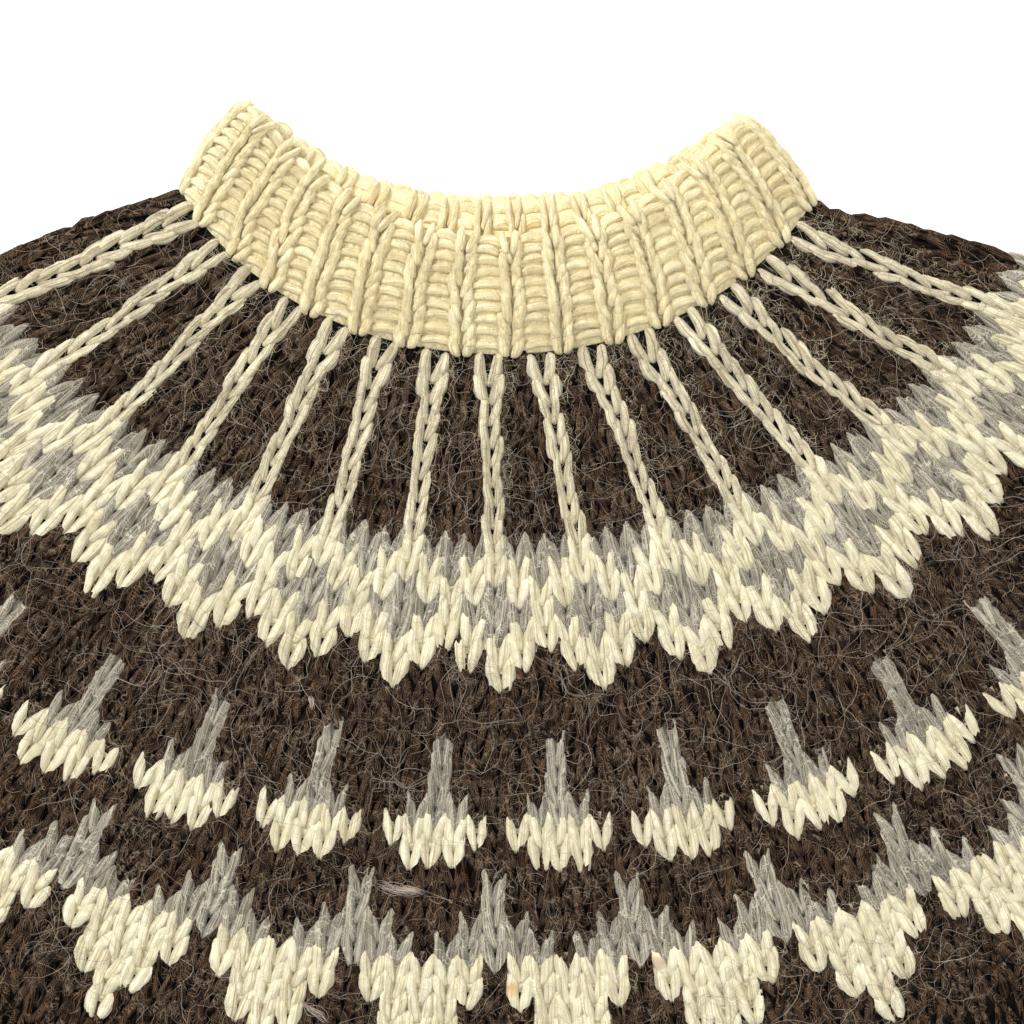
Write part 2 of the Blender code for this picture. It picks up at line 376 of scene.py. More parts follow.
    def mean_span(self) -> float:
        """Length of the tube, as a mean over the places across it.

        Returns:
            The length, in metres.
        """
        rows = np.linspace(0.0, 1.0, 25)
        across = np.linspace(-0.95, 0.95, 9)
        line = np.array([self.plan(row, across, Layer.FRONT) for row in rows])
        return float(np.mean(np.sum(np.linalg.norm(np.diff(line, axis=0), axis=1), axis=0)))


@dataclass(frozen=True)
class YokeForm(Form):
    """The yoke: rows are arcs from the neck's seam, 0, to the union, 1."""

    fold_radii: tuple[float, ...] = (134 * MM, 160 * MM, 200 * MM, 300 * MM, 390 * MM)
    left_folds: tuple[float, ...] = (60.6, 62.9, 63.85, 65.5, 66.6)
    right_folds: tuple[float, ...] = (58.65, 61.9, 64.5, 65.6, 66.6)
    draw_rows: tuple[float, ...] = (1.4, 5.1, 10.9, 25.0)
    draws: tuple[float, ...] = (0.017, 0.024, 0.009, 0.0)
    last_stripe: float = 7 / 30
    sag_rows: tuple[float, ...] = (0, 9, 16, 19, 25, 31, 36, 38)
    sags: tuple[float, ...] = (0, 11, 23, 19, 27, 24, 11, 0)
    right_sag: float = 1.2
    sag_turn: float = 30.0
    spread_rows: tuple[float, ...] = (0, 9, 16, 19, 27, 38)
    left_spreads: tuple[float, ...] = (0.09, 0.0, 0.0, -0.03, -0.05, -0.04)
    right_spreads: tuple[float, ...] = (0.07, 0.02, -0.015, -0.035, -0.055, -0.04)

    def fold_angle(self, radius: np.ndarray, across: np.ndarray) -> np.ndarray:
        """Half angle of the front, in radians, where it folds at these radii.

        Args:
            radius: Distances from the yoke's centre.
            across: Shares across, whose sign names the side.

        Returns:
            The half angles.
        """
        left = np.interp(radius, self.fold_radii, self.left_folds)
        right = np.interp(radius, self.fold_radii, self.right_folds)
        return np.radians(np.where(across < 0, left, right))

    def neck_radius(self, across: np.ndarray, layer: Layer) -> np.ndarray:
        """Radius of the neck's seam at a share across the half round.

        Args:
            across: Shares across the half round, from -1 to 1.
            layer: The front or the back.

        Returns:
            The seam's distances from the yoke's centre.
        """
        radius = NECK_RADIUS + NECK_SIDE_EXTRA * across**2
        radius = radius + NECK_SIDE_BULGE * (across**2 - across**4)
        if layer is Layer.BACK:
            radius = radius - BACK_NECK_RISE * (1 - np.abs(across) ** 3)
        return radius

    def plan(self, row: float, across: np.ndarray, layer: Layer) -> Plan:
        """Place of the yoke's cloth, seen from above.

        Args:
            row: Place along the tube, from 0 to 1.
            across: Shares across the half round, from -1 to 1.
            layer: The front or the back.

        Returns:
            The places across and along, from the yoke's centre.
        """
        nominal = NECK_RADIUS + (UNION_RADIUS - NECK_RADIUS) * row
        fade = max(0.0, 1 - row) ** 1.5
        radius = nominal + (self.neck_radius(across, layer) - NECK_RADIUS) * fade
        radius = radius + self.sag(row, across)
        return polar(radius, across * self.fold_angle(radius, across))

    def sag(self, row: float, across: np.ndarray) -> np.ndarray:
        """How far a round hangs away from the neck beside the middle, as it was laid.

        Args:
            row: Place along the tube, from 0 to 1.
            across: Shares across the half round, from -1 to 1.

        Returns:
            The distances, in metres.
        """
        most = float(np.interp(row * YOKE_ROWS, self.sag_rows, self.sags)) * PIXEL
        fold = self.fold_angle(np.full_like(across, NECK_RADIUS), across)
        turn = np.degrees(np.abs(across * fold))
        away = turn / self.sag_turn
        right = self.right_sag * (np.sqrt(away**2 + 0.01) - 0.1)
        return most * np.where(across > 0, right, away**1.5)

    def eased(self, row: float, shares: np.ndarray) -> np.ndarray:
        """Spread the columns of the front a little, and draw the stripes in from the folds.

        Args:
            row: Place along the yoke.
            shares: Shares of the way round.

        Returns:
            The shares at which the columns lie.
        """
        held = np.mod(shares + 0.5, 1.0) - 0.5
        left = np.interp(row * YOKE_ROWS, self.spread_rows, self.left_spreads)
        right = np.interp(row * YOKE_ROWS, self.spread_rows, self.right_spreads)
        amount = np.where(held < 0, left, right)
        inside = np.clip((FOLD_SHARE - np.abs(held)) / (FOLD_SHARE - self.last_stripe), 0.0, 1.0)
        drawn = np.interp(row * YOKE_ROWS, self.draw_rows, self.draws) * inside
        return held * (1 + amount * frontal(held)) * (1 - drawn)


@dataclass(frozen=True)
class BandForm(Form):
    """The neckband: rows run from the yoke, 0, to the folded edge, 1."""

    thick: float = BAND_THICK
    creased: bool = False
    toward_neck: int = 1
    yoke: YokeForm = field(default_factory=YokeForm)
    base_angles: tuple[float, float] = (60.8, 59.3)
    corner_angles: tuple[float, float] = (69.2, 65.4)
    corner_extra: tuple[float, float] = (10.8 * MM, 8.5 * MM)
    corner_round: float = 7.5 * MM
    spreads: tuple[float, float] = (0.075, 0.05)
    shift: float = 0.008
    base_dip: float = 4.4 * MM
    rise_end: float = 0.45
    back_slope: float = 1.6
    corner_start: float = 0.93
    roll_start: float = 0.84
    roll_drop: float = 4.8 * MM

    def crown(self, row: float, across: np.ndarray) -> np.ndarray:
        """Let the band rise from the yoke's height to its own, and roll over at its edge."""
        rise = 1 - float(smooth(np.array(row / self.rise_end)))
        return np.full_like(across, -self.base_dip * rise - self.rolled(row))

    def rolled(self, row: float) -> float:
        """How far the band's edge has rolled down at a row."""
        roll = max(0.0, (row - self.roll_start) / (1 - self.roll_start))
        return self.roll_drop * (1 - math.sqrt(max(0.0, 1 - min(1.0, roll) ** 2)))

    def plan(self, row: float, across: np.ndarray, layer: Layer) -> Plan:
        """Place of the neckband's cloth, seen from above.

        Args:
            row: Place along the tube, from 0 to 1.
            across: Shares across the half round, from -1 to 1.
            layer: The front or the back.

        Returns:
            The places across and along, from the yoke's centre.
        """
        left = across < 0
        base_angle = np.where(left, *self.base_angles)
        corner_angle = np.where(left, *self.corner_angles)
        extra = np.where(left, *self.corner_extra)
        share = np.radians(base_angle) / self.yoke.fold_angle(np.full_like(across, NECK_RADIUS), across)
        base = self.yoke.neck_radius(across * share, layer) - SEAM
        top = BAND_TOP_RADIUS + extra * np.abs(across) ** 1.8
        near = np.clip((np.abs(across) - self.corner_start) / (1 - self.corner_start), 0.0, 1.0)
        top = top + self.corner_round * (1 - np.sqrt(1 - near**2))
        if layer is Layer.BACK:
            top = top - BACK_NECK_RISE * (1 - np.abs(across) ** self.back_slope)
        spread = base_angle + (corner_angle - base_angle) * row
        return polar(base + (top - base) * row, np.radians(across * spread))

    def eased(self, row: float, shares: np.ndarray) -> np.ndarray:
        """Spread the columns of the front a little, as the yoke's are.

        Args:
            row: Place along the band.
            shares: Shares of the way round.

        Returns:
            The shares at which the columns lie.
        """
        held = np.mod(shares + self.shift + 0.5, 1.0) - 0.5
        amount = np.where(held < 0, *self.spreads)
        return held * (1 + amount * frontal(held))


@dataclass(frozen=True)
class BandLining(BandForm):
    """The inner face of the neckband's back, which shows above the front's edge."""

    height: float = 6.3 * MM
    hidden: float = 0.26
    roll_start: float = 0.85
    roll_drop: float = 2.4 * MM

    def sample(self, row: float, shares: np.ndarray, skin: Skin) -> np.ndarray:
        """Places on the inner face, for shares from -0.25 on the left to 0.25 on the right.

        Args:
            row: Place along the band.
            shares: Shares of the way round.
            skin: How far in the places lie.

        Returns:
            The places, one a row.
        """
        held = np.mod(shares + 0.5, 1.0) - 0.5
        across = np.clip(held * 4, -1.06, 1.06)
        x, y = self.plan(row, across, Layer.BACK)
        z = np.where(np.abs(held) > self.hidden, 0.0, self.height - skin.top - self.rolled(row))
        return np.stack((x + CENTRE.x, y + CENTRE.y, z), axis=1)


@dataclass(frozen=True)
class LimbForm(Form):
    """A tube that starts on the union, between two angles, and ends straight."""

    angle_from: float = 0.0
    angle_to: float = 0.0
    lengths: tuple[float, ...] = ()
    half_widths: tuple[float, ...] = ()

    def axes(self) -> Plan:
        """Directions out along the tube and sideways across it.

        Returns:
            The two directions, seen from above.
        """
        middle = math.radians((self.angle_from + self.angle_to) / 2)
        out = np.array((math.sin(middle), -math.cos(middle)))
        return out, np.array((-out[1], out[0]))

    def plan(self, row: float, across: np.ndarray, layer: Layer) -> Plan:
        """Place of the tube's cloth, seen from above.

        Args:
            row: Place along the tube, from 0 to 1.
            across: Shares across the half round, from -1 to 1.
            layer: The front or the back.

        Returns:
            The places across and along, from the yoke's centre.
        """
        radius = UNION_RADIUS + SEAM
        half_span = math.radians((self.angle_to - self.angle_from) / 2)
        chord, first_half = radius * math.cos(half_span), radius * math.sin(half_span)
        out, sideways = self.axes()
        fade = max(0.0, 1 - row)
        distance = row * self.lengths[-1]
        half = np.interp(distance, self.lengths, self.half_widths)
        half = half + (first_half - self.half_widths[0]) * fade**2
        bulge = np.sqrt(radius**2 - (across * first_half) ** 2) - chord
        reach = chord + distance + bulge * fade**1.2
        offset = across * half
        return out[0] * reach + sideways[0] * offset, out[1] * reach + sideways[1] * offset


@dataclass(frozen=True)
class RibForm(Form):
    """A ribbed end that carries on from a limb, drawn in a little."""

    creased: bool = False
    limb: LimbForm = field(default_factory=LimbForm)
    depth: float = 60 * MM
    half_widths: tuple[float, float] = (0.0, 0.0)

    def plan(self, row: float, across: np.ndarray, layer: Layer) -> Plan:
        """Place of the rib's cloth, seen from above.

        Args:
            row: Place along the tube, from 0 to 1.
            across: Shares across the half round, from -1 to 1.
            layer: The front or the back.

        Returns:
            The places across and along, from the yoke's centre.
        """
        out, sideways = self.limb.axes()
        origin = np.ravel(self.limb.plan(1.0, np.zeros(1), Layer.FRONT))
        half = self.half_widths[0] + (self.half_widths[1] - self.half_widths[0]) * min(1.0, 2 * row)
        reach = SEAM + row * self.depth
        x = origin[0] + out[0] * reach + sideways[0] * across * half
        y = origin[1] + out[1] * reach + sideways[1] * across * half
        return x, y


# Charts: which yarn each stitch of the yoke is knitted in


@dataclass(frozen=True)
class Band:
    """A run of the yoke's rounds with one count of stitches to a repeat.

    Each row is a word, a letter for each stitch of the repeat. The first letter
    is the stitch under a stripe, or half a repeat on where the band is shifted.
    """

    rows: tuple[str, ...]
    shifted: bool = False


CHART = (
    Band(("CB",) * 2),
    Band(("CBB",) * 3),
    Band(("CBBB",) * 4),
    Band(("CGGG", "CCGC", "GCCC", "GGCG", "GCCC", "CCBC", "CBBB")),
    Band(("BBBBB",) * 3),
    Band(("GBBBBB", "GBBBBB", "GBBBBB", "GGBBBG", "CCCBCC", "CCBBBC", "BBBBBB"), shifted=True),
    Band(("GBBBBB", "GBBBBB", "GGBBBG", "GGGBGG", "BCCCCC", "BCCCCC")),
    Band(("BBCCCB", "BBCCCB", "BBBCBB", "BBBCBB")),
    Band(("BBBBBBB",) * 2),
)
CHART_ROWS = [(word, band.shifted) for band in CHART for word in band.rows]
YOKE_ROWS = len(CHART_ROWS)
STRIPE_ROWS = 9
SHIFT_ROWS = (0, 9, 19, 26, 38)
PATTERN_SHIFTS = (-4.0 * MM, -2.0 * MM, 0.0, -2.0 * MM, -2.0 * MM)


@dataclass(frozen=True)
class Course:
    """One row of stitches: how many go round, how they start and what each is."""

    row: float
    depth: float
    count: int
    first: float
    yarns: tuple[Yarn, ...]
    kinds: tuple[Stitch, ...] = (Stitch.KNIT,)
    striped: bool = False
    ends: tuple[bool, ...] = (False,)

    def yarn(self, column: int) -> Yarn:
        """Yarn of a stitch."""
        return self.yarns[column % len(self.yarns)]

    def last(self, column: int) -> bool:
        """Whether a stitch is the last of its motif, which draws it out longer."""
        return self.ends[column % len(self.ends)]

    def kind(self, column: int) -> Stitch:
        """Whether a stitch is knit or purl."""
        return self.kinds[column % len(self.kinds)]


def yoke_courses(form: YokeForm) -> list[Course]:
    """Lay out the yoke's rounds from its chart.

    Args:
        form: The yoke's form, which says how long each round is.

    Returns:
        The rounds, from the neck out.
    """
    courses = []
    for number, (word, shifted) in enumerate(CHART_ROWS):
        row = (number + 0.5) / YOKE_ROWS
        moved = float(np.interp(number + 0.5, SHIFT_ROWS, PATTERN_SHIFTS))
        first = moved / form.girth(row) + (0.5 / REPEATS if shifted else 0.0)
        yarns = tuple(Yarn(letter) for letter in word)
        striped = number < STRIPE_ROWS
        below = CHART_ROWS[min(number + 1, YOKE_ROWS - 1)][0]
        same = len(below) == len(word)
        ends = tuple(letter != "B" and (not same or below[at] == "B") for at, letter in enumerate(word))
        if striped:
            ends = (False,)
        count = REPEATS * len(word)
        courses.append(Course(row, 1 / YOKE_ROWS, count, first, yarns, striped=striped, ends=ends))
    return courses


def plain_courses(rows: int, counts: Callable[[float], int], ribbed: bool, yarn: Yarn) -> list[Course]:
    """Lay out rounds in one yarn.

    Args:
        rows: Number of rounds.
        counts: Stitches in the round at a share of the way along.
        ribbed: Whether knit and purl take turns.
        yarn: The yarn.

    Returns:
        The rounds, in order.
    """
    kinds = (Stitch.KNIT, Stitch.PURL) if ribbed else (Stitch.KNIT,)
    courses = []
    for number in range(rows):
        row = (number + 0.5) / rows
        courses.append(Course(row, 1 / rows, counts(row), 0.0, (yarn,), kinds))
    return courses


# Finishes


class Graph:
    """Adds nodes to a tree and joins them, for shaders and for geometry."""

    def __init__(self, tree: bpy.types.NodeTree) -> None:
        """Start on a tree."""
        self.tree = tree

    def add(self, kind: str, **settings: object) -> bpy.types.Node:
        """Add a node and set its properties.

        Args:
            kind: The node's type.
            settings: Its properties, by name.

        Returns:
            The node.
        """
        node = self.tree.nodes.new(kind)
        for name, value in settings.items():
            setattr(node, name, value)
        return node

    def put(self, node: bpy.types.Node, name: Union[str, int], value: object) -> None:
        """Join an output to one of a node's inputs, or set the input's own value.

        Args:
            node: The node.
            name: The input's name or number.
            value: An output to join to it, or a value.
        """
        if isinstance(value, Socket):
            self.tree.links.new(value, node.inputs[name])
        else:
            node.inputs[name].default_value = value

    def math(self, operation: str, *values: object, clamp: bool = False) -> Socket:
        """Add a sum on numbers and return its result.

        Args:
            operation: The kind of sum.
            values: Sockets or numbers.
            clamp: Whether to hold it in 0 to 1.

        Returns:
            The result's socket.
        """
        node = self.add("ShaderNodeMath", operation=operation, use_clamp=clamp)
        for number, value in enumerate(values):
            self.put(node, number, value)
        return node.outputs[0]

    def times(self, first: object, second: object) -> Socket:
        """Multiply two numbers."""
        return self.math("MULTIPLY", first, second)

    def plus(self, first: object, second: object) -> Socket:
        """Add two numbers."""
        return self.math("ADD", first, second)

    def minus(self, first: object, second: object) -> Socket:
        """Take the second number from the first."""
        return self.math("SUBTRACT", first, second)

    def vector(self, operation: str, *values: object) -> Socket:
        """Add a sum on vectors and return its result.

        Args:
            operation: The kind of sum.
            values: Sockets or vectors.

        Returns:
            The result's socket.
        """
        node = self.add("ShaderNodeVectorMath", operation=operation)
        for number, value in enumerate(values):
            self.put(node, number, value)
        return node.outputs["Value" if operation in ("LENGTH", "DISTANCE", "DOT_PRODUCT") else "Vector"]

    def combine(self, x: object, y: object, z: object) -> Socket:
        """Join three numbers into a vector.

        Args:
            x: The first number.
            y: The second.
            z: The third.

        Returns:
            The vector's socket.
        """
        node = self.add("ShaderNodeCombineXYZ")
        for number, value in enumerate((x, y, z)):
            self.put(node, number, value)
        return node.outputs[0]

    def separate(self, value: object) -> Sequence[Socket]:
        """Part a vector into its three numbers.

        Args:
            value: The vector.

        Returns:
            The three numbers' sockets.
        """
        node = self.add("ShaderNodeSeparateXYZ")
        self.put(node, 0, value)
        return node.outputs

    def noise(self, place: object, scale: float, detail: float = 1.0, rough: float = 0.5) -> bpy.types.Node:
        """Add a noise at a place.

        Args:
            place: Where to read it.
            scale: How fine it is.
            detail: How many layers it has.
            rough: How much the finer layers count.

        Returns:
            The node.
        """
        node = self.add("ShaderNodeTexNoise")
        self.put(node, "Vector", place)
        self.put(node, "Scale", scale)
        self.put(node, "Detail", detail)
        self.put(node, "Roughness", rough)
        return node

    def blend(self, share: object, first: object, second: object) -> Socket:
        """Mix two colours by a share and return the result.

        Args:
            share: How much of the second colour.
            first: The first colour.
            second: The second.

        Returns:
            The result's socket.
        """
        node = self.add("ShaderNodeMix", data_type="RGBA")
        self.put(node, "Factor", share)
        self.put(node, 6, first)
        self.put(node, 7, second)
        return node.outputs[2]

    def lines(self, away: object, narrow: float, wide: float) -> Socket:
        """Draw a line where a distance is small: 1 within one bound, 0 past the other."""
        return self.minus(1.0, self.band(away, narrow, wide))

    def most(self, first: Optional[Socket], second: Socket) -> Socket:
        """Take the larger of two values, or the second alone."""
        return second if first is None else self.math("MAXIMUM", first, second)

    def band(self, value: object, low: float, high: float) -> Socket:
        """Ease a value from 0 at one bound to 1 at the other.

        Args:
            value: The value.
            low: Where the result is 0.
            high: Where it is 1.

        Returns:
            The result's socket.
        """
        node = self.add("ShaderNodeMapRange", interpolation_type="SMOOTHSTEP")
        self.put(node, "Value", value)
        self.put(node, "From Min", low)
        self.put(node, "From Max", high)
        return node.outputs["Result"]


def new_material(name: str, roughness: float, specular: float) -> tuple[Material, Graph, bpy.types.Node]:
    """Start a material.

    Args:
        name: Its name.
        roughness: How rough it is.
        specular: How much it mirrors.

    Returns:
        The material, a graph on its nodes, and its shader.
    """
    material = bpy.data.materials.new(name)
    material.use_nodes = True
    graph = Graph(material.node_tree)
    shader = material.node_tree.nodes["Principled BSDF"]
    graph.put(shader, "Roughness", roughness)
    graph.put(shader, "Specular IOR Level", specular)
    return material, graph, shader


STAIN_SCALE = 420.0


@dataclass(frozen=True)
class Stain:
    """A faint mark on the wool, at a pixel of the photograph."""

    x: float
    y: float
    radius: float
    colour: Rgb
    strength: float

    def share(self, graph: Graph, place: object) -> Socket:
        """How much of the mark shows at a place.

        Args:
            graph: The material's nodes.
            place: The place's socket.

        Returns:
            The share's socket.
        """
        spot = photo_point(self.x, self.y)
        middle = (spot[0] + CENTRE.x, spot[1] + CENTRE.y, THICK)
        away = graph.vector("DISTANCE", place, middle)
        noise = graph.noise(place, STAIN_SCALE, 1.0).outputs["Fac"]
        ragged = graph.times(noise, self.radius)
        edge = graph.band(graph.plus(away, ragged), self.radius * 1.5, self.radius * 0.6)
        return graph.times(edge, self.strength)


# The shaders' plain numbers
WOOL_ROUGHNESS = 0.92
WOOL_SPECULAR = 0.05
SHEEN_ROUGHNESS = 0.5
BUMP_STRENGTH = 0.8
HAIR_ROUGHNESS = 0.55
HAIR_SPECULAR = 0.3
# How often each layer of drawn hairs recurs, and how wide its lines are
HAIR_LAYERS = ((150.0, 0.012), (260.0, 0.019))
HAIR_GATE = (0.46, 0.60)
# For each layer of short fibres: their run in degrees, spacing, curl and its scale
FELT_LAYERS = (
    (58.0, 0.75 * MM, 3.0, 260.0),
    (-47.0, 0.90 * MM, 3.0, 330.0),
    (-5.0, 0.80 * MM, 3.2, 210.0),
)
FELT_LINE = (0.03, 0.17)
FELT_GATE = (0.47, 0.62)
# Darker patches of the wool: how fine, where they start and end, and how much they count
PATCH_SCALE = 55.0
PATCH_BAND = (0.35, 0.75)
PATCH_SHARE = 0.22
# How the yarn's own coordinates run: turns of its twist, their stretch, and a step for each tone
TWIST = 0.30
STRETCH = 0.55
TONE_STEP = 37.0
# How much the streaks, the coarse noise and the felt count
STREAK_SHARE = 0.7
COARSE_SHARE = 0.3
COARSE_GRAIN = (1.6, 1.6, 1.2)
FELT_RELIEF = 0.45


@dataclass(frozen=True)
class WoolFinish:
    """Soft undyed wool: heathered fibres along the yarn, and fine hairs across it."""

    name: str
    dark: Rgb
    middle: Rgb
    light: Rgb
    hair: Rgb
    hair_share: float
    contrast: float
    felt: Rgb
    felt_share: float
    bump: float = 0.45 * MM
    sheen: float = 0.45
    grain: tuple[float, float] = (5.5, 1.0)
    stains: tuple[Stain, ...] = ()

    def yarn_place(self, graph: Graph) -> Socket:
        """Coordinates round and along a leg of yarn, different on each stitch.

        Args:
            graph: The material's nodes.

        Returns:
            The coordinates' socket.
        """
        across, along, _ = graph.separate(graph.add("ShaderNodeUVMap", uv_map="yarn").outputs[0])
        tone = graph.add("ShaderNodeAttribute", attribute_name="tone").outputs["Fac"]
        twisted = graph.plus(across, graph.times(along, TWIST))
        angle = graph.times(twisted, 2 * math.pi)
        round_x, round_y = graph.math("COSINE", angle), graph.math("SINE", angle)
        stretched = graph.times(along, STRETCH)
        end = graph.plus(stretched, graph.times(tone, TONE_STEP))
        return graph.combine(round_x, round_y, end)

    def hairs(self, graph: Graph, place: object) -> Socket:
        """Thin curly lines: the level lines of two slow noises, broken up by a third.

        Args:
            graph: The material's nodes.
            place: Where to draw them.

        Returns:
            How much of a hair is there, from 0 to 1.
        """
        total: Optional[Socket] = None
        for number, (scale, width) in enumerate(HAIR_LAYERS):
            moved = graph.vector("ADD", place, (number * 3.7, number * 1.9, 0.0))
            level = graph.noise(moved, scale, 1.5).outputs["Fac"]
            away = graph.math("ABSOLUTE", graph.minus(level, 0.5))
            line = graph.lines(away, width * 0.3, width)
            gate = graph.noise(moved, scale * 0.45, 0.0).outputs["Fac"]
            line = graph.times(line, graph.band(gate, *HAIR_GATE))
            total = graph.most(total, line)
        return total

    def felted(self, graph: Graph, place: object) -> Socket:
        """Short curly fibres that cross one another: wavy lines, broken up by a noise.

        Args:
            graph: The material's nodes.
            place: Where to draw them.

        Returns:
            How much of a fibre is there, from 0 to 1.
        """
        total: Optional[Socket] = None
        for number, (degrees, spacing, curl, scale) in enumerate(FELT_LAYERS):
            angle = math.radians(degrees)
            across = (math.cos(angle) / spacing, math.sin(angle) / spacing, 0.3 / spacing)
            even = graph.vector("DOT_PRODUCT", place, across)
            moved = graph.vector("ADD", place, (number * 2.3, number * 5.1, 0.0))
            turned = graph.noise(moved, scale, 0.0).outputs
            wavy = graph.plus(even, graph.times(turned["Fac"], curl * 2))
            line = graph.lines(graph.math("PINGPONG", wavy, 0.5), *FELT_LINE)
            gate = graph.band(graph.separate(turned["Color"])[1], *FELT_GATE)
            total = graph.most(total, graph.times(line, gate))
        return total

    def colour(self, graph: Graph, fibres: object, felt: object, place: object) -> Socket:
        """Colour of the wool at a place, from the run of its fibres.

        Args:
            graph: The material's nodes.
            fibres: The run of the yarn's fibres, about 0.5.
            felt: How much of a short fibre is there.
            place: The place's socket.

        Returns:
            The colour's socket.
        """
        low = graph.band(fibres, 0.5 - self.contrast, 0.5)
        high = graph.band(fibres, 0.5, 0.5 + self.contrast)
        mixed = graph.blend(low, (*self.dark, 1.0), (*self.middle, 1.0))
        mixed = graph.blend(high, mixed, (*self.light, 1.0))
        patch = graph.band(graph.noise(place, PATCH_SCALE, 2.0).outputs["Fac"], *PATCH_BAND)
        mixed = graph.blend(graph.times(patch, PATCH_SHARE), mixed, (*self.dark, 1.0))
        for stain in self.stains:
            mixed = graph.blend(stain.share(graph, place), mixed, (*stain.colour, 1.0))
        mixed = graph.blend(graph.times(felt, self.felt_share), mixed, (*self.felt, 1.0))
        hair = graph.times(self.hairs(graph, place), self.hair_share)
        return graph.blend(hair, mixed, (*self.hair, 1.0))

    def start(self, name: str) -> tuple[Material, Graph, bpy.types.Node]:
        """Start a material with the wool's sheen.

        Args:
            name: Its name.

        Returns:
            The material, a graph on its nodes, and its shader.
        """
        material, graph, shader = new_material(name, WOOL_ROUGHNESS, WOOL_SPECULAR)
        graph.put(shader, "Sheen Weight", self.sheen)
        graph.put(shader, "Sheen Roughness", SHEEN_ROUGHNESS)
        return material, graph, shader

    def build(self) -> Material:
        """Make the material for yarn.

        Returns:
            The material, which reads the yarn's own coordinates.
        """
        material, graph, shader = self.start(self.name)
        place = graph.add("ShaderNodeTexCoord").outputs["Object"]
        yarn = self.yarn_place(graph)
        grain = (self.grain[0], self.grain[0], self.grain[1])
        streaks = graph.noise(graph.vector("MULTIPLY", yarn, grain), 1.0, 3.0, 0.6).outputs["Fac"]
        coarse = graph.noise(graph.vector("MULTIPLY", yarn, COARSE_GRAIN), 1.0, 1.0).outputs["Fac"]
        fine = graph.times(streaks, STREAK_SHARE)
        fibres = graph.plus(fine, graph.times(coarse, COARSE_SHARE))
        felt = self.felted(graph, place)
        graph.put(shader, "Base Color", self.colour(graph, fibres, felt, place))
        bump = graph.add("ShaderNodeBump")
        graph.put(bump, "Strength", BUMP_STRENGTH)
        graph.put(bump, "Distance", self.bump)
        raised = graph.times(felt, FELT_RELIEF)
        graph.put(bump, "Height", graph.plus(fibres, raised))
        graph.put(shader, "Normal", bump.outputs[0])
        return material


@dataclass(frozen=True)
class ClothFinish:
    """Knitted cloth seen as a surface: its stitches are drawn by its own map."""

    wool: WoolFinish
    ribbed: bool = False
    leg_lean: float = 0.27
    leg_half_width: float = 0.20
    rib_knit_share: float = 0.35
    relief: float = 1.4 * MM

    def stitches(self, graph: Graph) -> tuple[Socket, Socket]:
        """Height of the knit at a place, and coordinates for its fibres.

        Args:
            graph: The material's nodes.

        Returns:
            The height from 0 to 1, and a vector that runs along the legs.
        """
        across, along, _ = graph.separate(graph.add("ShaderNodeUVMap", uv_map="knit").outputs[0])
        column, row = graph.math("FRACT", across), graph.math("FRACT", along)
        side = graph.math("ABSOLUTE", graph.minus(column, 0.5))
        heights = []
        for shift in (0.0, 1.0):
            rise = graph.plus(row, shift)
            middle = graph.plus(graph.times(rise, self.leg_lean), 0.01)
            away = graph.math("DIVIDE", graph.minus(side, middle), self.leg_half_width)
            leg = graph.math("SUBTRACT", 1.0, graph.times(away, away), clamp=True)
            fade = graph.band(rise, 0.0, 0.35) if shift == 0.0 else graph.band(rise, 1.6, 1.2)
            heights.append(graph.times(leg, fade))
        height = graph.math("MAXIMUM", *heights)
        if self.ribbed:
            turn = graph.times(graph.plus(across, 0.5), math.pi)
            rib = graph.times(graph.plus(graph.math("COSINE", turn), 1.0), 0.5)
            height = graph.plus(graph.times(height, self.rib_knit_share), rib)
        run = graph.combine(graph.times(across, 9.0), graph.times(along, 2.0), 0.0)
        return height, run

    def build(self) -> Material:
        """Make the material for a wall of cloth, with painted shade between its drawn stitches.

        Returns:
            The material, which reads the wall's map and its colour attribute.
        """
        material, graph, shader = self.wool.start(f"{self.wool.name}_cloth")
        place = graph.add("ShaderNodeTexCoord").outputs["Object"]
        height, run = self.stitches(graph)
        streaks = graph.noise(run, 1.0, 3.0, 0.6).outputs["Fac"]
        yarn = graph.add("ShaderNodeAttribute", attribute_name="yarn_colour").outputs["Color"]
        shade = graph.plus(0.55, graph.times(streaks, 0.9))
        coloured = graph.vector("MULTIPLY", yarn, graph.combine(shade, shade, shade))
        # Painted shade: where the knit map is low, between the drawn stitches, the yarn's colour is
        # darkened and warmed, less for pale yarns than for dark ones.
        lightness = graph.separate(yarn)[0]
        depth = graph.plus(0.35, graph.times(lightness, 0.4))
        groove_shade_tint = graph.combine(depth, depth, graph.times(depth, 0.92))
        deep = graph.vector("MULTIPLY", coloured, groove_shade_tint)
        mixed = graph.blend(graph.band(height, 0.0, 0.7), deep, coloured)
        hair = graph.times(self.wool.hairs(graph, place), self.wool.hair_share * 0.6)
        graph.put(shader, "Base Color", graph.blend(hair, mixed, (*self.wool.hair, 1.0)))
        bump = graph.add("ShaderNodeBump")
        graph.put(bump, "Distance", self.relief)
        total = graph.plus(height, graph.times(streaks, 0.35))
        graph.put(bump, "Height", total)
        graph.put(shader, "Normal", bump.outputs[0])
        return material


@dataclass(frozen=True)
class HairFinish:
    """Loose hairs that stand off the yarn."""

    name: str
    root: Rgb
    tip: Rgb

    def build(self) -> Material:
        """Make the material for hairs.

        Returns:
            The material, which runs from one colour to the other hair by hair.
        """
        material, graph, shader = new_material(self.name, HAIR_ROUGHNESS, HAIR_SPECULAR)
        tone = graph.add("ShaderNodeAttribute", attribute_name="tone").outputs["Fac"]
        graph.put(shader, "Base Color", graph.blend(tone, (*self.root, 1.0), (*self.tip, 1.0)))
        return material


Finish = Union[WoolFinish, ClothFinish, HairFinish]

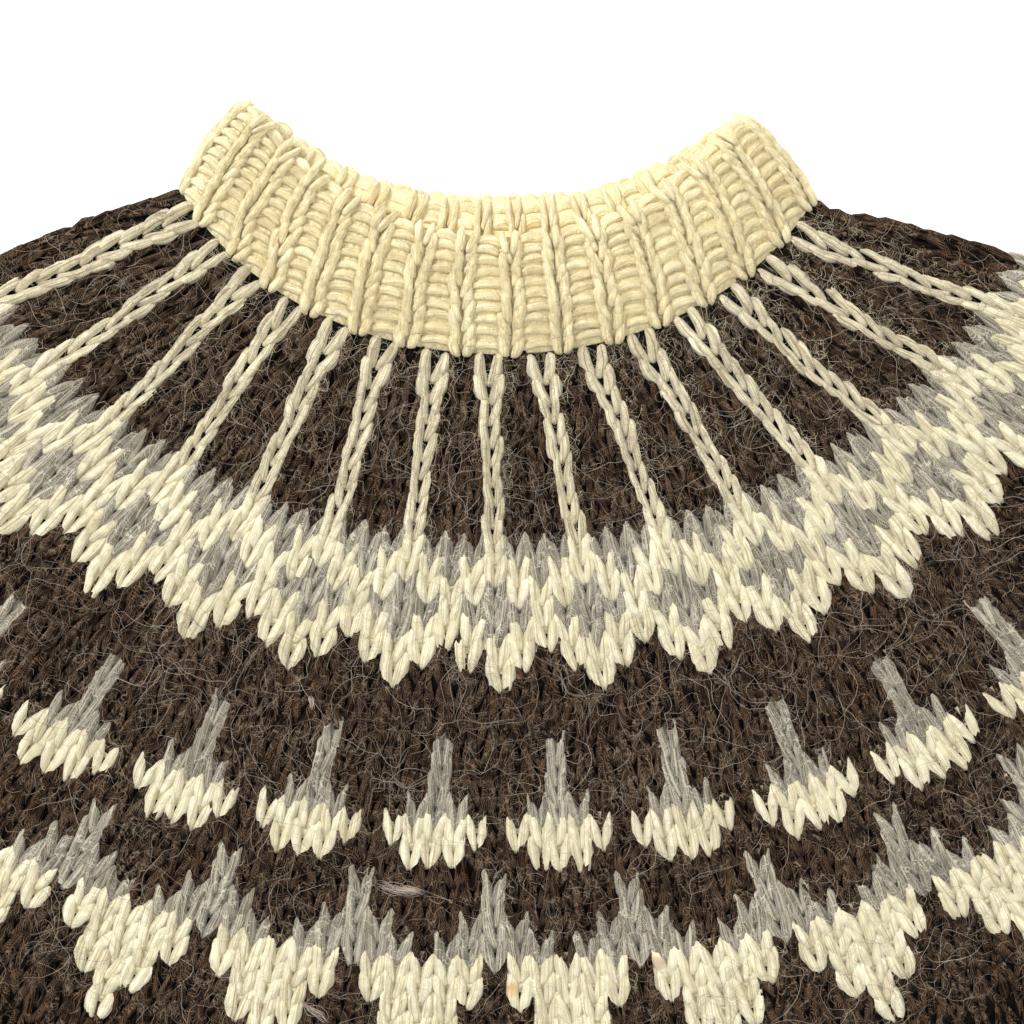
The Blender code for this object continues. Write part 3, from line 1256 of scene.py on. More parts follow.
BROWN = WoolFinish(
    "brown_wool",
    dark=linear(7, 4, 2),
    middle=linear(21, 14, 9),
    light=linear(86, 63, 44),
    hair=linear(150, 136, 116),
    hair_share=0.55,
    contrast=0.10,
    felt=linear(138, 113, 88),
    felt_share=0.8,
    bump=0.8 * MM,
    sheen=0.03,
    grain=(4.2, 2.4),
)
CREAM = WoolFinish(
    "cream_wool",
    dark=linear(190, 174, 134),
    middle=linear(240, 231, 196),
    light=linear(253, 249, 224),
    hair=linear(160, 138, 100),
    hair_share=0.2,
    contrast=0.12,
    felt=linear(200, 182, 140),
    felt_share=0.4,
    stains=(
        Stain(512, 990, 4.2 * MM, linear(220, 160, 74), 0.8),
        Stain(657, 963, 3.6 * MM, linear(206, 162, 126), 0.65),
        Stain(540, 775, 6.5 * MM, linear(206, 184, 140), 0.45),
        Stain(187, 765, 4.5 * MM, linear(196, 166, 122), 0.4),
    ),
)
STRIPE_CREAM = WoolFinish(
    "stripe_wool",
    dark=linear(150, 134, 104),
    middle=linear(228, 216, 180),
    light=linear(252, 245, 214),
    hair=linear(112, 94, 72),
    hair_share=0.4,
    contrast=0.12,
    felt=linear(176, 160, 128),
    felt_share=0.4,
)
GREY = WoolFinish(
    "grey_wool",
    dark=linear(90, 83, 70),
    middle=linear(138, 130, 111),
    light=linear(202, 194, 172),
    hair=linear(240, 234, 214),
    hair_share=0.55,
    contrast=0.10,
    felt=linear(226, 218, 196),
    felt_share=0.6,
    grain=(4.5, 1.8),
)
BAND_CREAM = WoolFinish(
    "band_wool",
    dark=linear(210, 186, 130),
    middle=linear(250, 236, 188),
    light=linear(255, 250, 214),
    hair=linear(170, 142, 96),
    hair_share=0.16,
    contrast=0.13,
    felt=linear(205, 178, 122),
    felt_share=0.42,
)
FINISHES = {Yarn.CREAM: CREAM, Yarn.GREY: GREY, Yarn.BROWN: BROWN}
SLOTS = {Yarn.CREAM: "cream_wool", Yarn.GREY: "grey_wool", Yarn.BROWN: "brown_wool"}


# Stitches: shapes of yarn put on points by Geometry Nodes


@dataclass(frozen=True)
class YarnShape:
    """How a stitch's yarn is shaped, as shares of the stitch's width and height."""

    sides: int
    spans: int
    foot: float = 0.05
    head: float = 0.41
    low: float = -1.28
    length: float = 1.88
    half_width: float = 0.235
    half_depth: float = 0.24
    arch: float = 0.20
    blunt: float = 0.54
    bow: float = 0.30
    hook: float = 0.5


class PointTree:
    """A Geometry Nodes tree that puts shapes on the points of a mesh.

    Each point carries the turn, the size and the tone of its shape.
    """

    labels: tuple[str, ...] = ()

    def __init__(self, name: str) -> None:
        """Start the tree, with its named inputs.

        Args:
            name: Name of the tree.
        """
        self.tree = bpy.data.node_groups.new(name, "GeometryNodeTree")
        interface = self.tree.interface
        interface.new_socket("Geometry", in_out="INPUT", socket_type="NodeSocketGeometry")
        self.inputs: dict[str, str] = {}
        for label in self.labels:
            socket = interface.new_socket(label, in_out="INPUT", socket_type="NodeSocketFloat")
            self.inputs[label] = socket.identifier
        interface.new_socket("Geometry", in_out="OUTPUT", socket_type="NodeSocketGeometry")
        self.graph = Graph(self.tree)
        self.source = self.graph.add("NodeGroupInput")

    def attribute(self, name: str) -> Socket:
        """Read one of the points' own vectors.

        Args:
            name: Its name.

        Returns:
            The vector's socket.
        """
        node = self.graph.add("GeometryNodeInputNamedAttribute", data_type="FLOAT_VECTOR")
        node.inputs["Name"].default_value = name
        return node.outputs[0]

    def on_points(self, shape: Socket) -> Socket:
        """Put a shape on every point, turned and sized as the point says.

        Args:
            shape: The shape's geometry.

        Returns:
            All the shapes, as geometry of their own.
        """
        graph = self.graph
        turn = graph.add("FunctionNodeEulerToRotation")
        graph.put(turn, 0, self.attribute("turn"))
        placed = graph.add("GeometryNodeInstanceOnPoints")
        graph.put(placed, "Points", self.source.outputs["Geometry"])
        graph.put(placed, "Instance", shape)
        graph.put(placed, "Rotation", turn.outputs[0])
        graph.put(placed, "Scale", self.attribute("size"))
        real = graph.add("GeometryNodeRealizeInstances")
        graph.put(real, 0, placed.outputs[0])
        return real.outputs[0]

    def strayed(self, geometry: Socket, waves: Sequence[tuple[str, str]], rise: float) -> Socket:
        """Move every place of a geometry by slow noises.

        Args:
            geometry: What to move.
            waves: For each noise, the inputs that say how far and how fine.
            rise: How far up, as a share of how far sideways.

        Returns:
            The moved geometry.
        """
        graph = self.graph
        here = graph.add("GeometryNodeInputPosition").outputs[0]
        where = graph.vector("ADD", here, graph.combine(self.source.outputs["Seed"], 0.0, 0.0))
        total: Optional[Socket] = None
        for amount, scale in waves:
            wobble = graph.add("ShaderNodeTexNoise")
            graph.put(wobble, "Vector", where)
            graph.put(wobble, "Scale", self.source.outputs[scale])
            graph.put(wobble, "Detail", 1.0)
            centred = graph.vector("SUBTRACT", wobble.outputs["Color"], (0.5, 0.5, 0.5))
            most = self.source.outputs[amount]
            reach = graph.combine(most, most, graph.times(most, rise))
            offset = graph.vector("MULTIPLY", centred, reach)
            total = offset if total is None else graph.vector("ADD", total, offset)
        moved = graph.add("GeometryNodeSetPosition")
        graph.put(moved, "Geometry", geometry)
        graph.put(moved, "Offset", total)
        return moved.outputs[0]

    def dress(self, geometry: Socket, material: Material) -> None:
        """Give the shapes their material and hand them out.

        Args:
            geometry: The shapes.
            material: Their material.
        """
        dressed = self.graph.add("GeometryNodeSetMaterial")
        self.graph.put(dressed, "Geometry", geometry)
        dressed.inputs["Material"].default_value = material
        self.graph.put(self.graph.add("NodeGroupOutput"), 0, dressed.outputs[0])


# How far a strand's spans crowd towards its middle, and how much of its swell each end leaves out
CROWDING = 0.085
END_SHARE = 0.05
# How sharply a purl's bar bows, and how far it lies under its point
BOW_POWER = 1.5
BAR_DROP = 0.2


class StitchTree(PointTree):
    """Puts stitches of one kind, in one yarn, on points."""

    labels = ("Unevenness", "Uneven Scale", "Lumps", "Lump Scale", "Seed")

    def __init__(self, name: str, kind: Stitch, shape: YarnShape, material: Material) -> None:
        """Build the tree.

        Args:
            name: Name of the tree.
            kind: Knit or purl.
            shape: How the yarn is shaped.
            material: The yarn's material.
        """
        super().__init__(name)
        self.shape = shape
        graph = self.graph
        strands = graph.add("GeometryNodeJoinGeometry")
        for lean in (1.0, -1.0) if kind is Stitch.KNIT else (0.0,):
            graph.put(strands, 0, self.strand(lean))
        waves = (("Unevenness", "Uneven Scale"), ("Lumps", "Lump Scale"))
        moved = self.strayed(self.on_points(strands.outputs[0]), waves, 1.0)
        soft = graph.add("GeometryNodeSetShadeSmooth")
        graph.put(soft, "Geometry", moved)
        self.dress(soft.outputs[0], material)

    def rod(self) -> Socket:
        """Make a plain closed rod, mapped round and along.

        Returns:
            The rod's mesh, of radius 1 and length 1.
        """
        graph = self.graph
        rod = graph.add("GeometryNodeMeshCylinder", fill_type="NGON")
        graph.put(rod, "Vertices", self.shape.sides)
        graph.put(rod, "Side Segments", self.shape.spans)
        graph.put(rod, "Radius", 1.0)
        graph.put(rod, "Depth", 1.0)
        mapped = graph.add("GeometryNodeStoreNamedAttribute", data_type="FLOAT2", domain="CORNER")
        graph.put(mapped, "Geometry", rod.outputs["Mesh"])
        graph.put(mapped, "Name", "yarn")
        graph.put(mapped, "Value", rod.outputs["UV Map"])
        return mapped.outputs[0]

    def leg(self, along: Socket, wide: Socket, lean: float) -> tuple[Socket, Socket]:
        """Run a strand as a knit stitch's leg, from its foot up to its hooked head.

        Args:
            along: How far along the strand, from 0 to 1.
            wide: How far beside its middle.
            lean: 1 for a leg that leans right, -1 for left.

        Returns:
            The place across the stitch and up it.
        """
        graph, shape = self.graph, self.shape
        hooked = graph.math("SINE", graph.times(along, math.pi * shape.hook))
        path = graph.plus(shape.foot, graph.times(hooked, shape.head - shape.foot))
        across = graph.times(graph.plus(path, wide), lean)
        return across, graph.plus(shape.low, graph.times(along, shape.length))

    def bar(self, along: Socket, wide: Socket, swell: Socket) -> tuple[Socket, Socket]:
        """Run a strand as a purl stitch's bar, which bows in the middle.

        Args:
            along: How far along the strand, from 0 to 1.
            wide: How far beside its middle.
            swell: How full the strand is there, from 0 to 1.

        Returns:
            The place across the stitch and up it.
        """
        graph, shape = self.graph, self.shape
        across = graph.times(graph.minus(along, 0.5), shape.length)
        bow = graph.times(graph.math("POWER", swell, BOW_POWER), shape.bow)
        return across, graph.minus(graph.minus(bow, BAR_DROP), wide)

    def strand(self, lean: float) -> Socket:
        """Shape one closed strand of yarn.

        Args:
            lean: 1 for a leg that leans right, -1 for left, 0 for a purl's bar.

        Returns:
            The strand's mesh.
        """
        graph, shape = self.graph, self.shape
        round_x, round_y, height = graph.separate(graph.add("GeometryNodeInputPosition").outputs[0])
        share = graph.plus(height, 0.5)
        wave = graph.math("SINE", graph.times(share, 2 * math.pi))
        along = graph.minus(share, graph.times(wave, CROWDING))
        arc = graph.plus(graph.times(share, 1 - 2 * END_SHARE), END_SHARE)
        swell = graph.math("SINE", graph.times(arc, math.pi))
        plump = graph.math("POWER", swell, shape.blunt)
        wide = graph.times(graph.times(round_x, shape.half_width), plump)
        deep = graph.times(graph.times(round_y, shape.half_depth), plump)
        arch = graph.times(swell, shape.arch)
        across, up = self.leg(along, wide, lean) if lean else self.bar(along, wide, swell)
        out = graph.plus(deep, graph.minus(arch, shape.arch))
        placed = graph.add("GeometryNodeSetPosition")
        graph.put(placed, "Geometry", self.rod())
        graph.put(placed, "Position", graph.combine(across, up, out))
        if lean >= 0:
            return placed.outputs[0]
        turned = graph.add("GeometryNodeFlipFaces")
        graph.put(turned, 0, placed.outputs[0])
        return turned.outputs[0]


@dataclass
class Points:
    """Points that carry a turn, a size and a tone, one for each shape to be placed."""

    places: list[Vector] = field(default_factory=list)
    turns: list[Vector] = field(default_factory=list)
    sizes: list[Vector] = field(default_factory=list)
    tones: list[float] = field(default_factory=list)

    def add(self, place: Vector, axes: Matrix, size: Vector, tone: float) -> None:
        """Add one point.

        Args:
            place: Where it is.
            axes: The turn of its shape.
            size: The shape's size along its own axes.
            tone: A number from 0 to 1 that tells the shape from others.
        """
        self.places.append(place)
        self.turns.append(Vector(axes.to_euler("XYZ")))
        self.sizes.append(size)
        self.tones.append(tone)

    def grow(self, name: str, tree: PointTree, values: dict[str, float]) -> Piece:
        """Turn the points into the tree's plain mesh.

        Args:
            name: Name of the finished piece.
            tree: The Geometry Nodes tree.
            values: The tree's inputs, by name.

        Returns:
            The finished piece, linked to the scene.
        """
        seeds = bpy.data.meshes.new(f"{name}_points")
        seeds.from_pydata(self.places, [], [])
        for label, data in (("turn", self.turns), ("size", self.sizes)):
            attribute = seeds.attributes.new(label, "FLOAT_VECTOR", "POINT")
            attribute.data.foreach_set("vector", np.ravel([tuple(value) for value in data]))
        seeds.attributes.new("tone", "FLOAT", "POINT").data.foreach_set("value", self.tones)
        holder = bpy.data.objects.new(f"{name}_points", seeds)
        bpy.context.scene.collection.objects.link(holder)
        modifier = holder.modifiers.new("Stitches", "NODES")
        modifier.node_group = tree.tree
        for label, value in values.items():
            modifier[tree.inputs[label]] = value
        bpy.context.view_layer.update()
        evaluated = holder.evaluated_get(bpy.context.evaluated_depsgraph_get())
        mesh = bpy.data.meshes.new_from_object(evaluated)
        mesh.name = name
        holder.modifiers.remove(modifier)
        bpy.data.objects.remove(holder)
        bpy.data.meshes.remove(seeds)
        for label in ("turn", "size"):
            if label in mesh.attributes:
                mesh.attributes.remove(mesh.attributes[label])
        piece = bpy.data.objects.new(name, mesh)
        bpy.context.scene.collection.objects.link(piece)
        return piece


def put_on(piece: Piece, slot: str) -> Piece:
    """Make a finished piece ride on the sweater, and log its count of triangles.

    Args:
        piece: The piece.
        slot: Not used.

    Returns:
        The same piece.
    """
    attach(piece, BODY)
    count = sum(len(face.vertices) - 2 for face in piece.data.polygons)
    LOG.info("%s: %d triangles", piece.name, count)
    return piece


FINE = YarnShape(
    sides=6, spans=6, foot=0.10, head=0.375, low=-1.2, length=1.80,
    half_width=0.262, blunt=0.58, hook=0.55,
)
STRIPE_FINE = YarnShape(
    sides=6, spans=6, foot=0.11, head=0.385, low=-1.15, length=1.72,
    half_width=0.25, half_depth=0.26, blunt=0.5, hook=0.62,
)
MIDDLING = YarnShape(sides=5, spans=3, half_depth=0.20, arch=0.14)
COARSE = YarnShape(sides=3, spans=2)
RIB_FINE = YarnShape(
    sides=6, spans=6, foot=0.16, head=0.33, low=-1.15, length=1.95,
    half_width=0.21, half_depth=0.34, blunt=0.5, hook=0.6,
)
PURL_FINE = YarnShape(
    sides=6, spans=6, length=1.28, half_width=0.41, half_depth=0.30, arch=0.20, blunt=0.45, bow=0.36,
)
FELTED = YarnShape(sides=6, spans=5, foot=0.09, half_width=0.265, half_depth=0.19, arch=0.11, blunt=0.48)
PURL_COARSE = YarnShape(sides=4, spans=3, length=1.3, half_width=0.42, half_depth=0.30, arch=0.30)


@dataclass
class Stitchery:
    """Lays stitches on a form, round by round, on all of it that a viewer above sees."""

    form: Form
    courses: list[Course]
    rng: np.random.Generator
    inset: float = 1.9 * MM
    side_inset: float = 1.9 * MM
    jitter: float = 0.055
    size_jitter: float = 0.04
    clear: float = 1.5 * MM
    purl_sink: float = 0.6 * MM
    widest: float = 0.5
    lean: float = 0.75
    lowest_normal: float = -0.5
    edge_share: float = 0.55
    last_drop: float = 0.11
    last_stretch: float = 1.16
    deepest: float = 1.15

    def skin(self) -> Skin:
        """The skin that the stitches' own middles lie on."""
        return Skin(self.inset, self.inset, self.side_inset)

    def lay(self) -> dict[tuple[Yarn, Stitch, bool], Points]:
        """Place every stitch of the front and of the folds.

        Returns:
            The points, for each yarn and kind of stitch.
        """
        groups: dict[tuple[Yarn, Stitch, bool], Points] = {}
        for course in self.courses:
            columns = np.arange(course.count)
            shares = columns / course.count + course.first
            step = 0.5 / course.count
            half = course.depth / 2 * -self.form.toward_neck
            upper = self.form.sample(course.row - half, shares, self.skin())
            lower = self.form.sample(course.row + half, shares, self.skin())
            right = self.form.sample(course.row, shares + step, self.skin())
            left = self.form.sample(course.row, shares - step, self.skin())
            self.lay_course(course, (upper, lower, right, left), groups)
        return groups

    def lay_course(
        self,
        course: Course,
        around: tuple[np.ndarray, np.ndarray, np.ndarray, np.ndarray],
        groups: dict[tuple[Yarn, Stitch, bool], Points],
    ) -> None:
        """Place one round's stitches.

        Args:
            course: The round.
            around: Places above, below, right and left of each stitch.
            groups: Where the points go.
        """
        upper, lower, right, left = around
        for column in range(course.count):
            along = Vector(right[column] - left[column])
            toward_neck = Vector(upper[column] - lower[column])
            normal = along.cross(toward_neck).normalized()
            place = Vector((upper[column] + lower[column] + right[column] + left[column]) / 4)
            turned = abs(math.remainder(column / course.count + course.first, 1.0))
            reach = abs(along.z) * self.edge_share + self.clear
            if normal.z < self.lowest_normal or place.z < reach or turned > self.widest:
                continue
            width, height = along.length, toward_neck.length
            kind = course.kind(column)
            shake = self.rng.normal(0.0, 1.0, 5)
            side = along.normalized()
            up = normal.cross(side)
            up = up.lerp(toward_neck.normalized(), self.lean).normalized()
            side = up.cross(normal)
            place = place + side * (shake[0] * self.jitter * width) + up * (shake[1] * self.jitter * height)
            if kind is Stitch.PURL:
                place = place - normal * self.purl_sink
            if course.last(column):
                place = place - up * (self.last_drop * height)
                height *= self.last_stretch
            yaw = Matrix.Rotation(shake[2] * self.jitter, 3, "Z")
            axes = Matrix((side, up, normal)).transposed() @ yaw
            wider, taller = (1 + shake[index] * self.size_jitter for index in (3, 4))
            grown = Vector((width * wider, height * taller, min(width, height * self.deepest)))
            tone = float(self.rng.random())
            yarn = course.yarn(column)
            key = (yarn, kind, course.striped and yarn is Yarn.CREAM)
            groups.setdefault(key, Points()).add(place, axes, grown, tone)


# How far and how finely the yarn strays from its even shape
UNEVEN_YARN = {
    "Unevenness": 1.2 * MM,
    "Uneven Scale": 75.0,
    "Lumps": 1.0 * MM,
    "Lump Scale": 430.0,
    "Seed": 0.137,
}


def knit_piece(
    name: str,
    points: Points,
    kind: Stitch,
    shape: YarnShape,
    finish: WoolFinish,
    slot: str,
    materials: "Materials",
) -> Piece:
    """Grow one piece of stitches, of one kind and in one finish, from its points."""
    tree = StitchTree(f"{name}_tree", kind, shape, materials.get(finish))
    return put_on(points.grow(name, tree, UNEVEN_YARN), slot)


class Materials:
    """Makes each finish's material once."""

    def __init__(self) -> None:
        """Start with none."""
        self.made: dict[Finish, Material] = {}

    def get(self, finish: Finish) -> Material:
        """Return a finish's material.

        Args:
            finish: The finish.

        Returns:
            The material, which is made at the finish's first use.
        """
        if finish not in self.made:
            self.made[finish] = finish.build()
        return self.made[finish]


@dataclass
class ClothWall:
    """The wall of cloth under the stitches: closed, and open at both ends of its tube."""

    name: str
    form: Form
    courses: list[Course]
    columns: int
    cloth: float = CLOTH
    back_cloth: float = CLOTH
    top_inset: float = 2.6 * MM
    side_inset: float = 2.4 * MM
    underside: float = 0.2 * MM
    inner_rows: int = 4
    least_step: float = 2 * MM
    plain_place: tuple[float, float] = (0.25, 0.5)
    finishes: dict[Yarn, WoolFinish] = field(default_factory=lambda: FINISHES)

    def rings(self) -> tuple[list[float], list[float]]:
        """Say where the wall's rings are.

        Returns:
            Rows of the outside, one between each two rounds, and of the inside.
        """
        outer = [course.row - course.depth / 2 for course in self.courses]
        outer.append(self.courses[-1].row + self.courses[-1].depth / 2)
        return outer, list(np.linspace(outer[0], outer[-1], self.inner_rows))

    def knit(self) -> tuple[list[tuple[int, ...]], list[tuple[float, float]], list[Rgb]]:
        """Face the outside, round by round.

        Returns:
            The faces, and for each of their corners its place on the map and its colour.
        """
        faces, maps, colours = [], [], []
        shift = self.courses[0].first
        for number, course in enumerate(self.courses):
            per_face = course.count / self.columns
            above, below = number * self.columns, (number + 1) * self.columns
            for column in range(self.columns):
                after = (column + 1) % self.columns
                faces.append((above + column, below + column, below + after, above + after))
                left = (column / self.columns + shift - course.first) * course.count + 0.5
                right = left + per_face
                maps.extend(((left, 1.0), (left, 0.0), (right, 0.0), (right, 1.0)))
                middle = int(math.floor(left + per_face / 2))
                # Under the striped rounds the wall is brown all across: partly the brown yarn's fuzz,
                # partly painted shade in the holes between the cream stitches.
                yarn = Yarn.BROWN if course.striped else course.yarn(middle)
                colours.extend([self.finishes[yarn].middle] * 4)
        return faces, maps, colours

    def build(self, material: Material) -> Piece:
        """Loft the wall, and give each stitch its place on the map and its colour.

        Args:
            material: The cloth's material.

        Returns:
            The finished wall.
        """
        outer_rows, inner_rows = self.rings()
        shares = np.arange(self.columns) / self.columns + self.courses[0].first
        skin = Skin(self.top_inset, self.underside, self.side_inset)
        deeper = max(self.cloth - self.top_inset, self.least_step)
        inner_skin = Skin(self.cloth, self.back_cloth, self.side_inset + deeper)
        rings = [self.form.sample(row, shares, skin) for row in outer_rows]
        rings += [self.form.sample(row, shares, inner_skin) for row in inner_rows]
        vertices = np.concatenate(rings)
        faces, maps, colours = self.knit()
        knitted = len(faces)
        self.close(faces, len(outer_rows), len(inner_rows))
        plain = 4 * (len(faces) - knitted)
        maps.extend((self.plain_place,) * plain)
        colours.extend([colours[0]] * plain)
        mesh = bpy.data.meshes.new(self.name)
        mesh.from_pydata([tuple(vertex) for vertex in vertices], [], faces)
        mesh.uv_layers.new(name="knit").data.foreach_set("uv", np.ravel(maps))
        attribute = mesh.color_attributes.new("yarn_colour", "FLOAT_COLOR", "CORNER")
        attribute.data.foreach_set("color", np.ravel([(*colour, 1.0) for colour in colours]))
        mesh.materials.append(material)
        mesh.shade_smooth()
        mesh.update()
        piece = bpy.data.objects.new(self.name, mesh)
        bpy.context.scene.collection.objects.link(piece)
        if self.inside_out(mesh):
            mesh.flip_normals()
        return piece

    def close(self, faces: list[tuple[int, ...]], outer: int, inner: int) -> None:
        """Add the wall's inside and its two ends.

        Args:
            faces: The faces so far, which this adds to.
            outer: Number of rings outside.
            inner: Number of rings inside.
        """
        count = self.columns
        first_inner = outer * count
        for number in range(inner - 1):
            above, below = first_inner + number * count, first_inner + (number + 1) * count
            for column in range(count):
                after = (column + 1) % count
                faces.append((above + after, below + after, below + column, above + column))
        ends = ((0, first_inner, False), ((outer - 1) * count, first_inner + (inner - 1) * count, True))
        for outside, inside, flipped in ends:
            for column in range(count):
                after = (column + 1) % count
                corners = (outside + column, outside + after, inside + after, inside + column)
                faces.append(corners[::-1] if flipped else corners)

    @staticmethod
    def inside_out(mesh: bpy.types.Mesh) -> bool:
        """Say whether a closed mesh's faces point inwards.

        Args:
            mesh: The mesh.

        Returns:
            Whether the volume inside them comes out negative.
        """
        volume = 0.0
        mesh.calc_loop_triangles()
        for triangle in mesh.loop_triangles:
            a, b, c = (mesh.vertices[index].co for index in triangle.vertices)
            volume += a.dot(b.cross(c))
        return volume < 0


# Loose hairs


# How thin a hair's ends are, and how far it curls up as a share of sideways
END_THICKNESS = 0.45
CURL_RISE = 0.2
HAIR_SEED = 0.31


class HairTree(PointTree):
    """Puts thin curly hairs on points."""

    labels = ("Radius", "Curl", "Curl Scale", "Seed")

    def __init__(self, name: str, joints: int, material: Material) -> None:
        """Build the tree.

        Args:
            name: Name of the tree.
            joints: Number of joints of each hair.
            material: The hairs' material.
        """
        super().__init__(name)
        laid = self.on_points(self.bow(joints))
        curled = self.strayed(laid, (("Curl", "Curl Scale"),), CURL_RISE)
        self.dress(self.thickened(curled), material)

    def bow(self, joints: int) -> Socket:
        """Bend a line of length 1 sideways and up, level at both ends.

        Args:
            joints: Number of its joints.

        Returns:
            The bent line.
        """
        graph = self.graph
        line = graph.add("GeometryNodeCurvePrimitiveLine")
        graph.put(line, "Start", (-0.5, 0.0, 0.0))
        graph.put(line, "End", (0.5, 0.0, 0.0))
        cut = graph.add("GeometryNodeResampleCurve")
        graph.put(cut, "Curve", line.outputs[0])
        graph.put(cut, "Count", joints)
        along, _, _ = graph.separate(graph.add("GeometryNodeInputPosition").outputs[0])
        bow = graph.minus(0.25, graph.times(along, along))
        bent = graph.add("GeometryNodeSetPosition")
        graph.put(bent, "Geometry", cut.outputs[0])
        graph.put(bent, "Position", graph.combine(along, bow, bow))
        return bent.outputs[0]

    def thickened(self, curves: Socket) -> Socket:
        """Turn curves into three-sided hairs that thin out towards their ends.

        Args:
            curves: The curves.

        Returns:
            The hairs' mesh.
        """
        graph = self.graph
        factor = graph.add("GeometryNodeSplineParameter").outputs["Factor"]
        middle = graph.math("SINE", graph.times(factor, math.pi))
        full = graph.times(middle, 1 - END_THICKNESS)
        share = graph.plus(END_THICKNESS, full)
        thick = graph.times(self.source.outputs["Radius"], share)
        width = graph.add("GeometryNodeSetCurveRadius")
        graph.put(width, "Curve", curves)
        graph.put(width, "Radius", thick)
        ring = graph.add("GeometryNodeCurvePrimitiveCircle", mode="RADIUS")
        graph.put(ring, "Resolution", 3)
        graph.put(ring, "Radius", 1.0)
        solid = graph.add("GeometryNodeCurveToMesh")
        graph.put(solid, "Curve", width.outputs[0])
        graph.put(solid, "Profile Curve", ring.outputs[0])
        graph.put(solid, "Fill Caps", True)
        if "Scale" in solid.inputs:
            graph.put(solid, "Scale", thick)
        return solid.outputs[0]


@dataclass(frozen=True)
class HairKind:
    """One kind of loose hair."""

    finish: HairFinish
    joints: int
    radius: float
    curl: float
    curl_scale: float
    lengths: tuple[float, float] = (2 * MM, 6 * MM)

    def grow(self, name: str, points: Points, slot: str, materials: Materials) -> Piece:
        """Turn points into a piece of hairs of this kind.

        Args:
            name: Name of the piece.
            points: Where the hairs go.
            slot: The record's slot for them.
            materials: The materials made so far.

        Returns:
            The finished piece.
        """
        tree = HairTree(f"{name}_tree", self.joints, materials.get(self.finish))
        values = {
            "Radius": self.radius,
            "Curl": self.curl,
            "Curl Scale": self.curl_scale,
            "Seed": HAIR_SEED,
        }
        return put_on(points.grow(name, tree, values), slot)


LIGHT_HAIR = HairFinish("light_hair", linear(98, 82, 64), linear(214, 202, 182))
GREY_HAIR = HairFinish("grey_hair", linear(112, 104, 92), linear(244, 238, 222))
PALE_HAIR = HairFinish("pale_hair", linear(232, 216, 172), linear(255, 248, 224))
BAND_HAIR = HairFinish("band_hair", linear(212, 186, 134), linear(255, 248, 214))
DARK_HAIR = HairFinish("dark_hair", linear(60, 46, 34), linear(120, 98, 74))
TUFT_HAIR = HairFinish("tuft_hair", linear(190, 168, 150), linear(250, 236, 220))

LONG_STRAYS = HairKind(LIGHT_HAIR, 11, 0.064 * MM, 13 * MM, 80.0, (10 * MM, 30 * MM))
SHORT_STRAYS = HairKind(LIGHT_HAIR, 6, 0.052 * MM, 6 * MM, 140.0, (3 * MM, 9 * MM))
DARK_STRAYS = HairKind(DARK_HAIR, 7, 0.045 * MM, 9 * MM, 80.0, (5 * MM, 15 * MM))
GREY_FUZZ = HairKind(GREY_HAIR, 3, 0.06 * MM, 2.5 * MM, 190.0)
PALE_FUZZ = HairKind(PALE_HAIR, 3, 0.05 * MM, 2.5 * MM, 190.0)
BAND_FUZZ = HairKind(BAND_HAIR, 3, 0.05 * MM, 2.5 * MM, 190.0)
TUFT_WOOL = HairKind(TUFT_HAIR, 6, 0.06 * MM, 2.5 * MM, 170.0)


@dataclass
class HairCoat:
    """Loose hairs over part of a form."""

    name: str
    form: Form
    slot: str
    kind: HairKind
    count: int
    rows: tuple[float, float]
    keep: Optional[Callable[[float, float], bool]] = None
    shares: tuple[float, float] = (-0.245, 0.245)
    per_row: int = 12
    tilt: float = 0.06
    bows: tuple[float, float] = (0.2, 2.4)
    humps: tuple[float, float] = (0.05, 0.5)
    hump_length: float = 6 * MM
    rises: tuple[float, float] = (-0.3, 0.9)

    def build(self, rng: np.random.Generator, materials: Materials) -> Piece:
        """Scatter the hairs and turn them into one mesh.

        Args:
            rng: Source of the random places.
            materials: The materials made so far.

        Returns:
            The finished piece.
        """
        points = Points()
        skin = Skin(0.0, 0.0, 0.0)
        while len(points.places) < self.count:
            row = float(rng.uniform(*self.rows))
            shares = rng.uniform(*self.shares, self.per_row)
            places = self.form.sample(row, shares, skin)
            for share, place in zip(shares, places):
                if self.keep and not self.keep(row, float(share)):
                    continue
                self.add(points, Vector(place), rng)
        return self.kind.grow(self.name, points, self.slot, materials)

    def add(self, points: Points, place: Vector, rng: np.random.Generator) -> None:
        """Add one hair.

        Args:
            points: Where it goes.
            place: Its middle.
            rng: Source of its length, its turn and its bend.
        """
        length = float(rng.uniform(*self.kind.lengths))
        turn = Matrix.Rotation(float(rng.uniform(0, 2 * math.pi)), 3, "Z")
        tilt = Matrix.Rotation(float(rng.normal(0.0, self.tilt)), 3, "Y")
        bow = float(rng.uniform(*self.bows)) * length
        hump = float(rng.uniform(*self.humps)) * min(length, self.hump_length)
        rise = UP * float(rng.uniform(*self.rises)) * MM
        points.add(place + rise, turn @ tilt, Vector((length, bow, hump)), float(rng.random()))


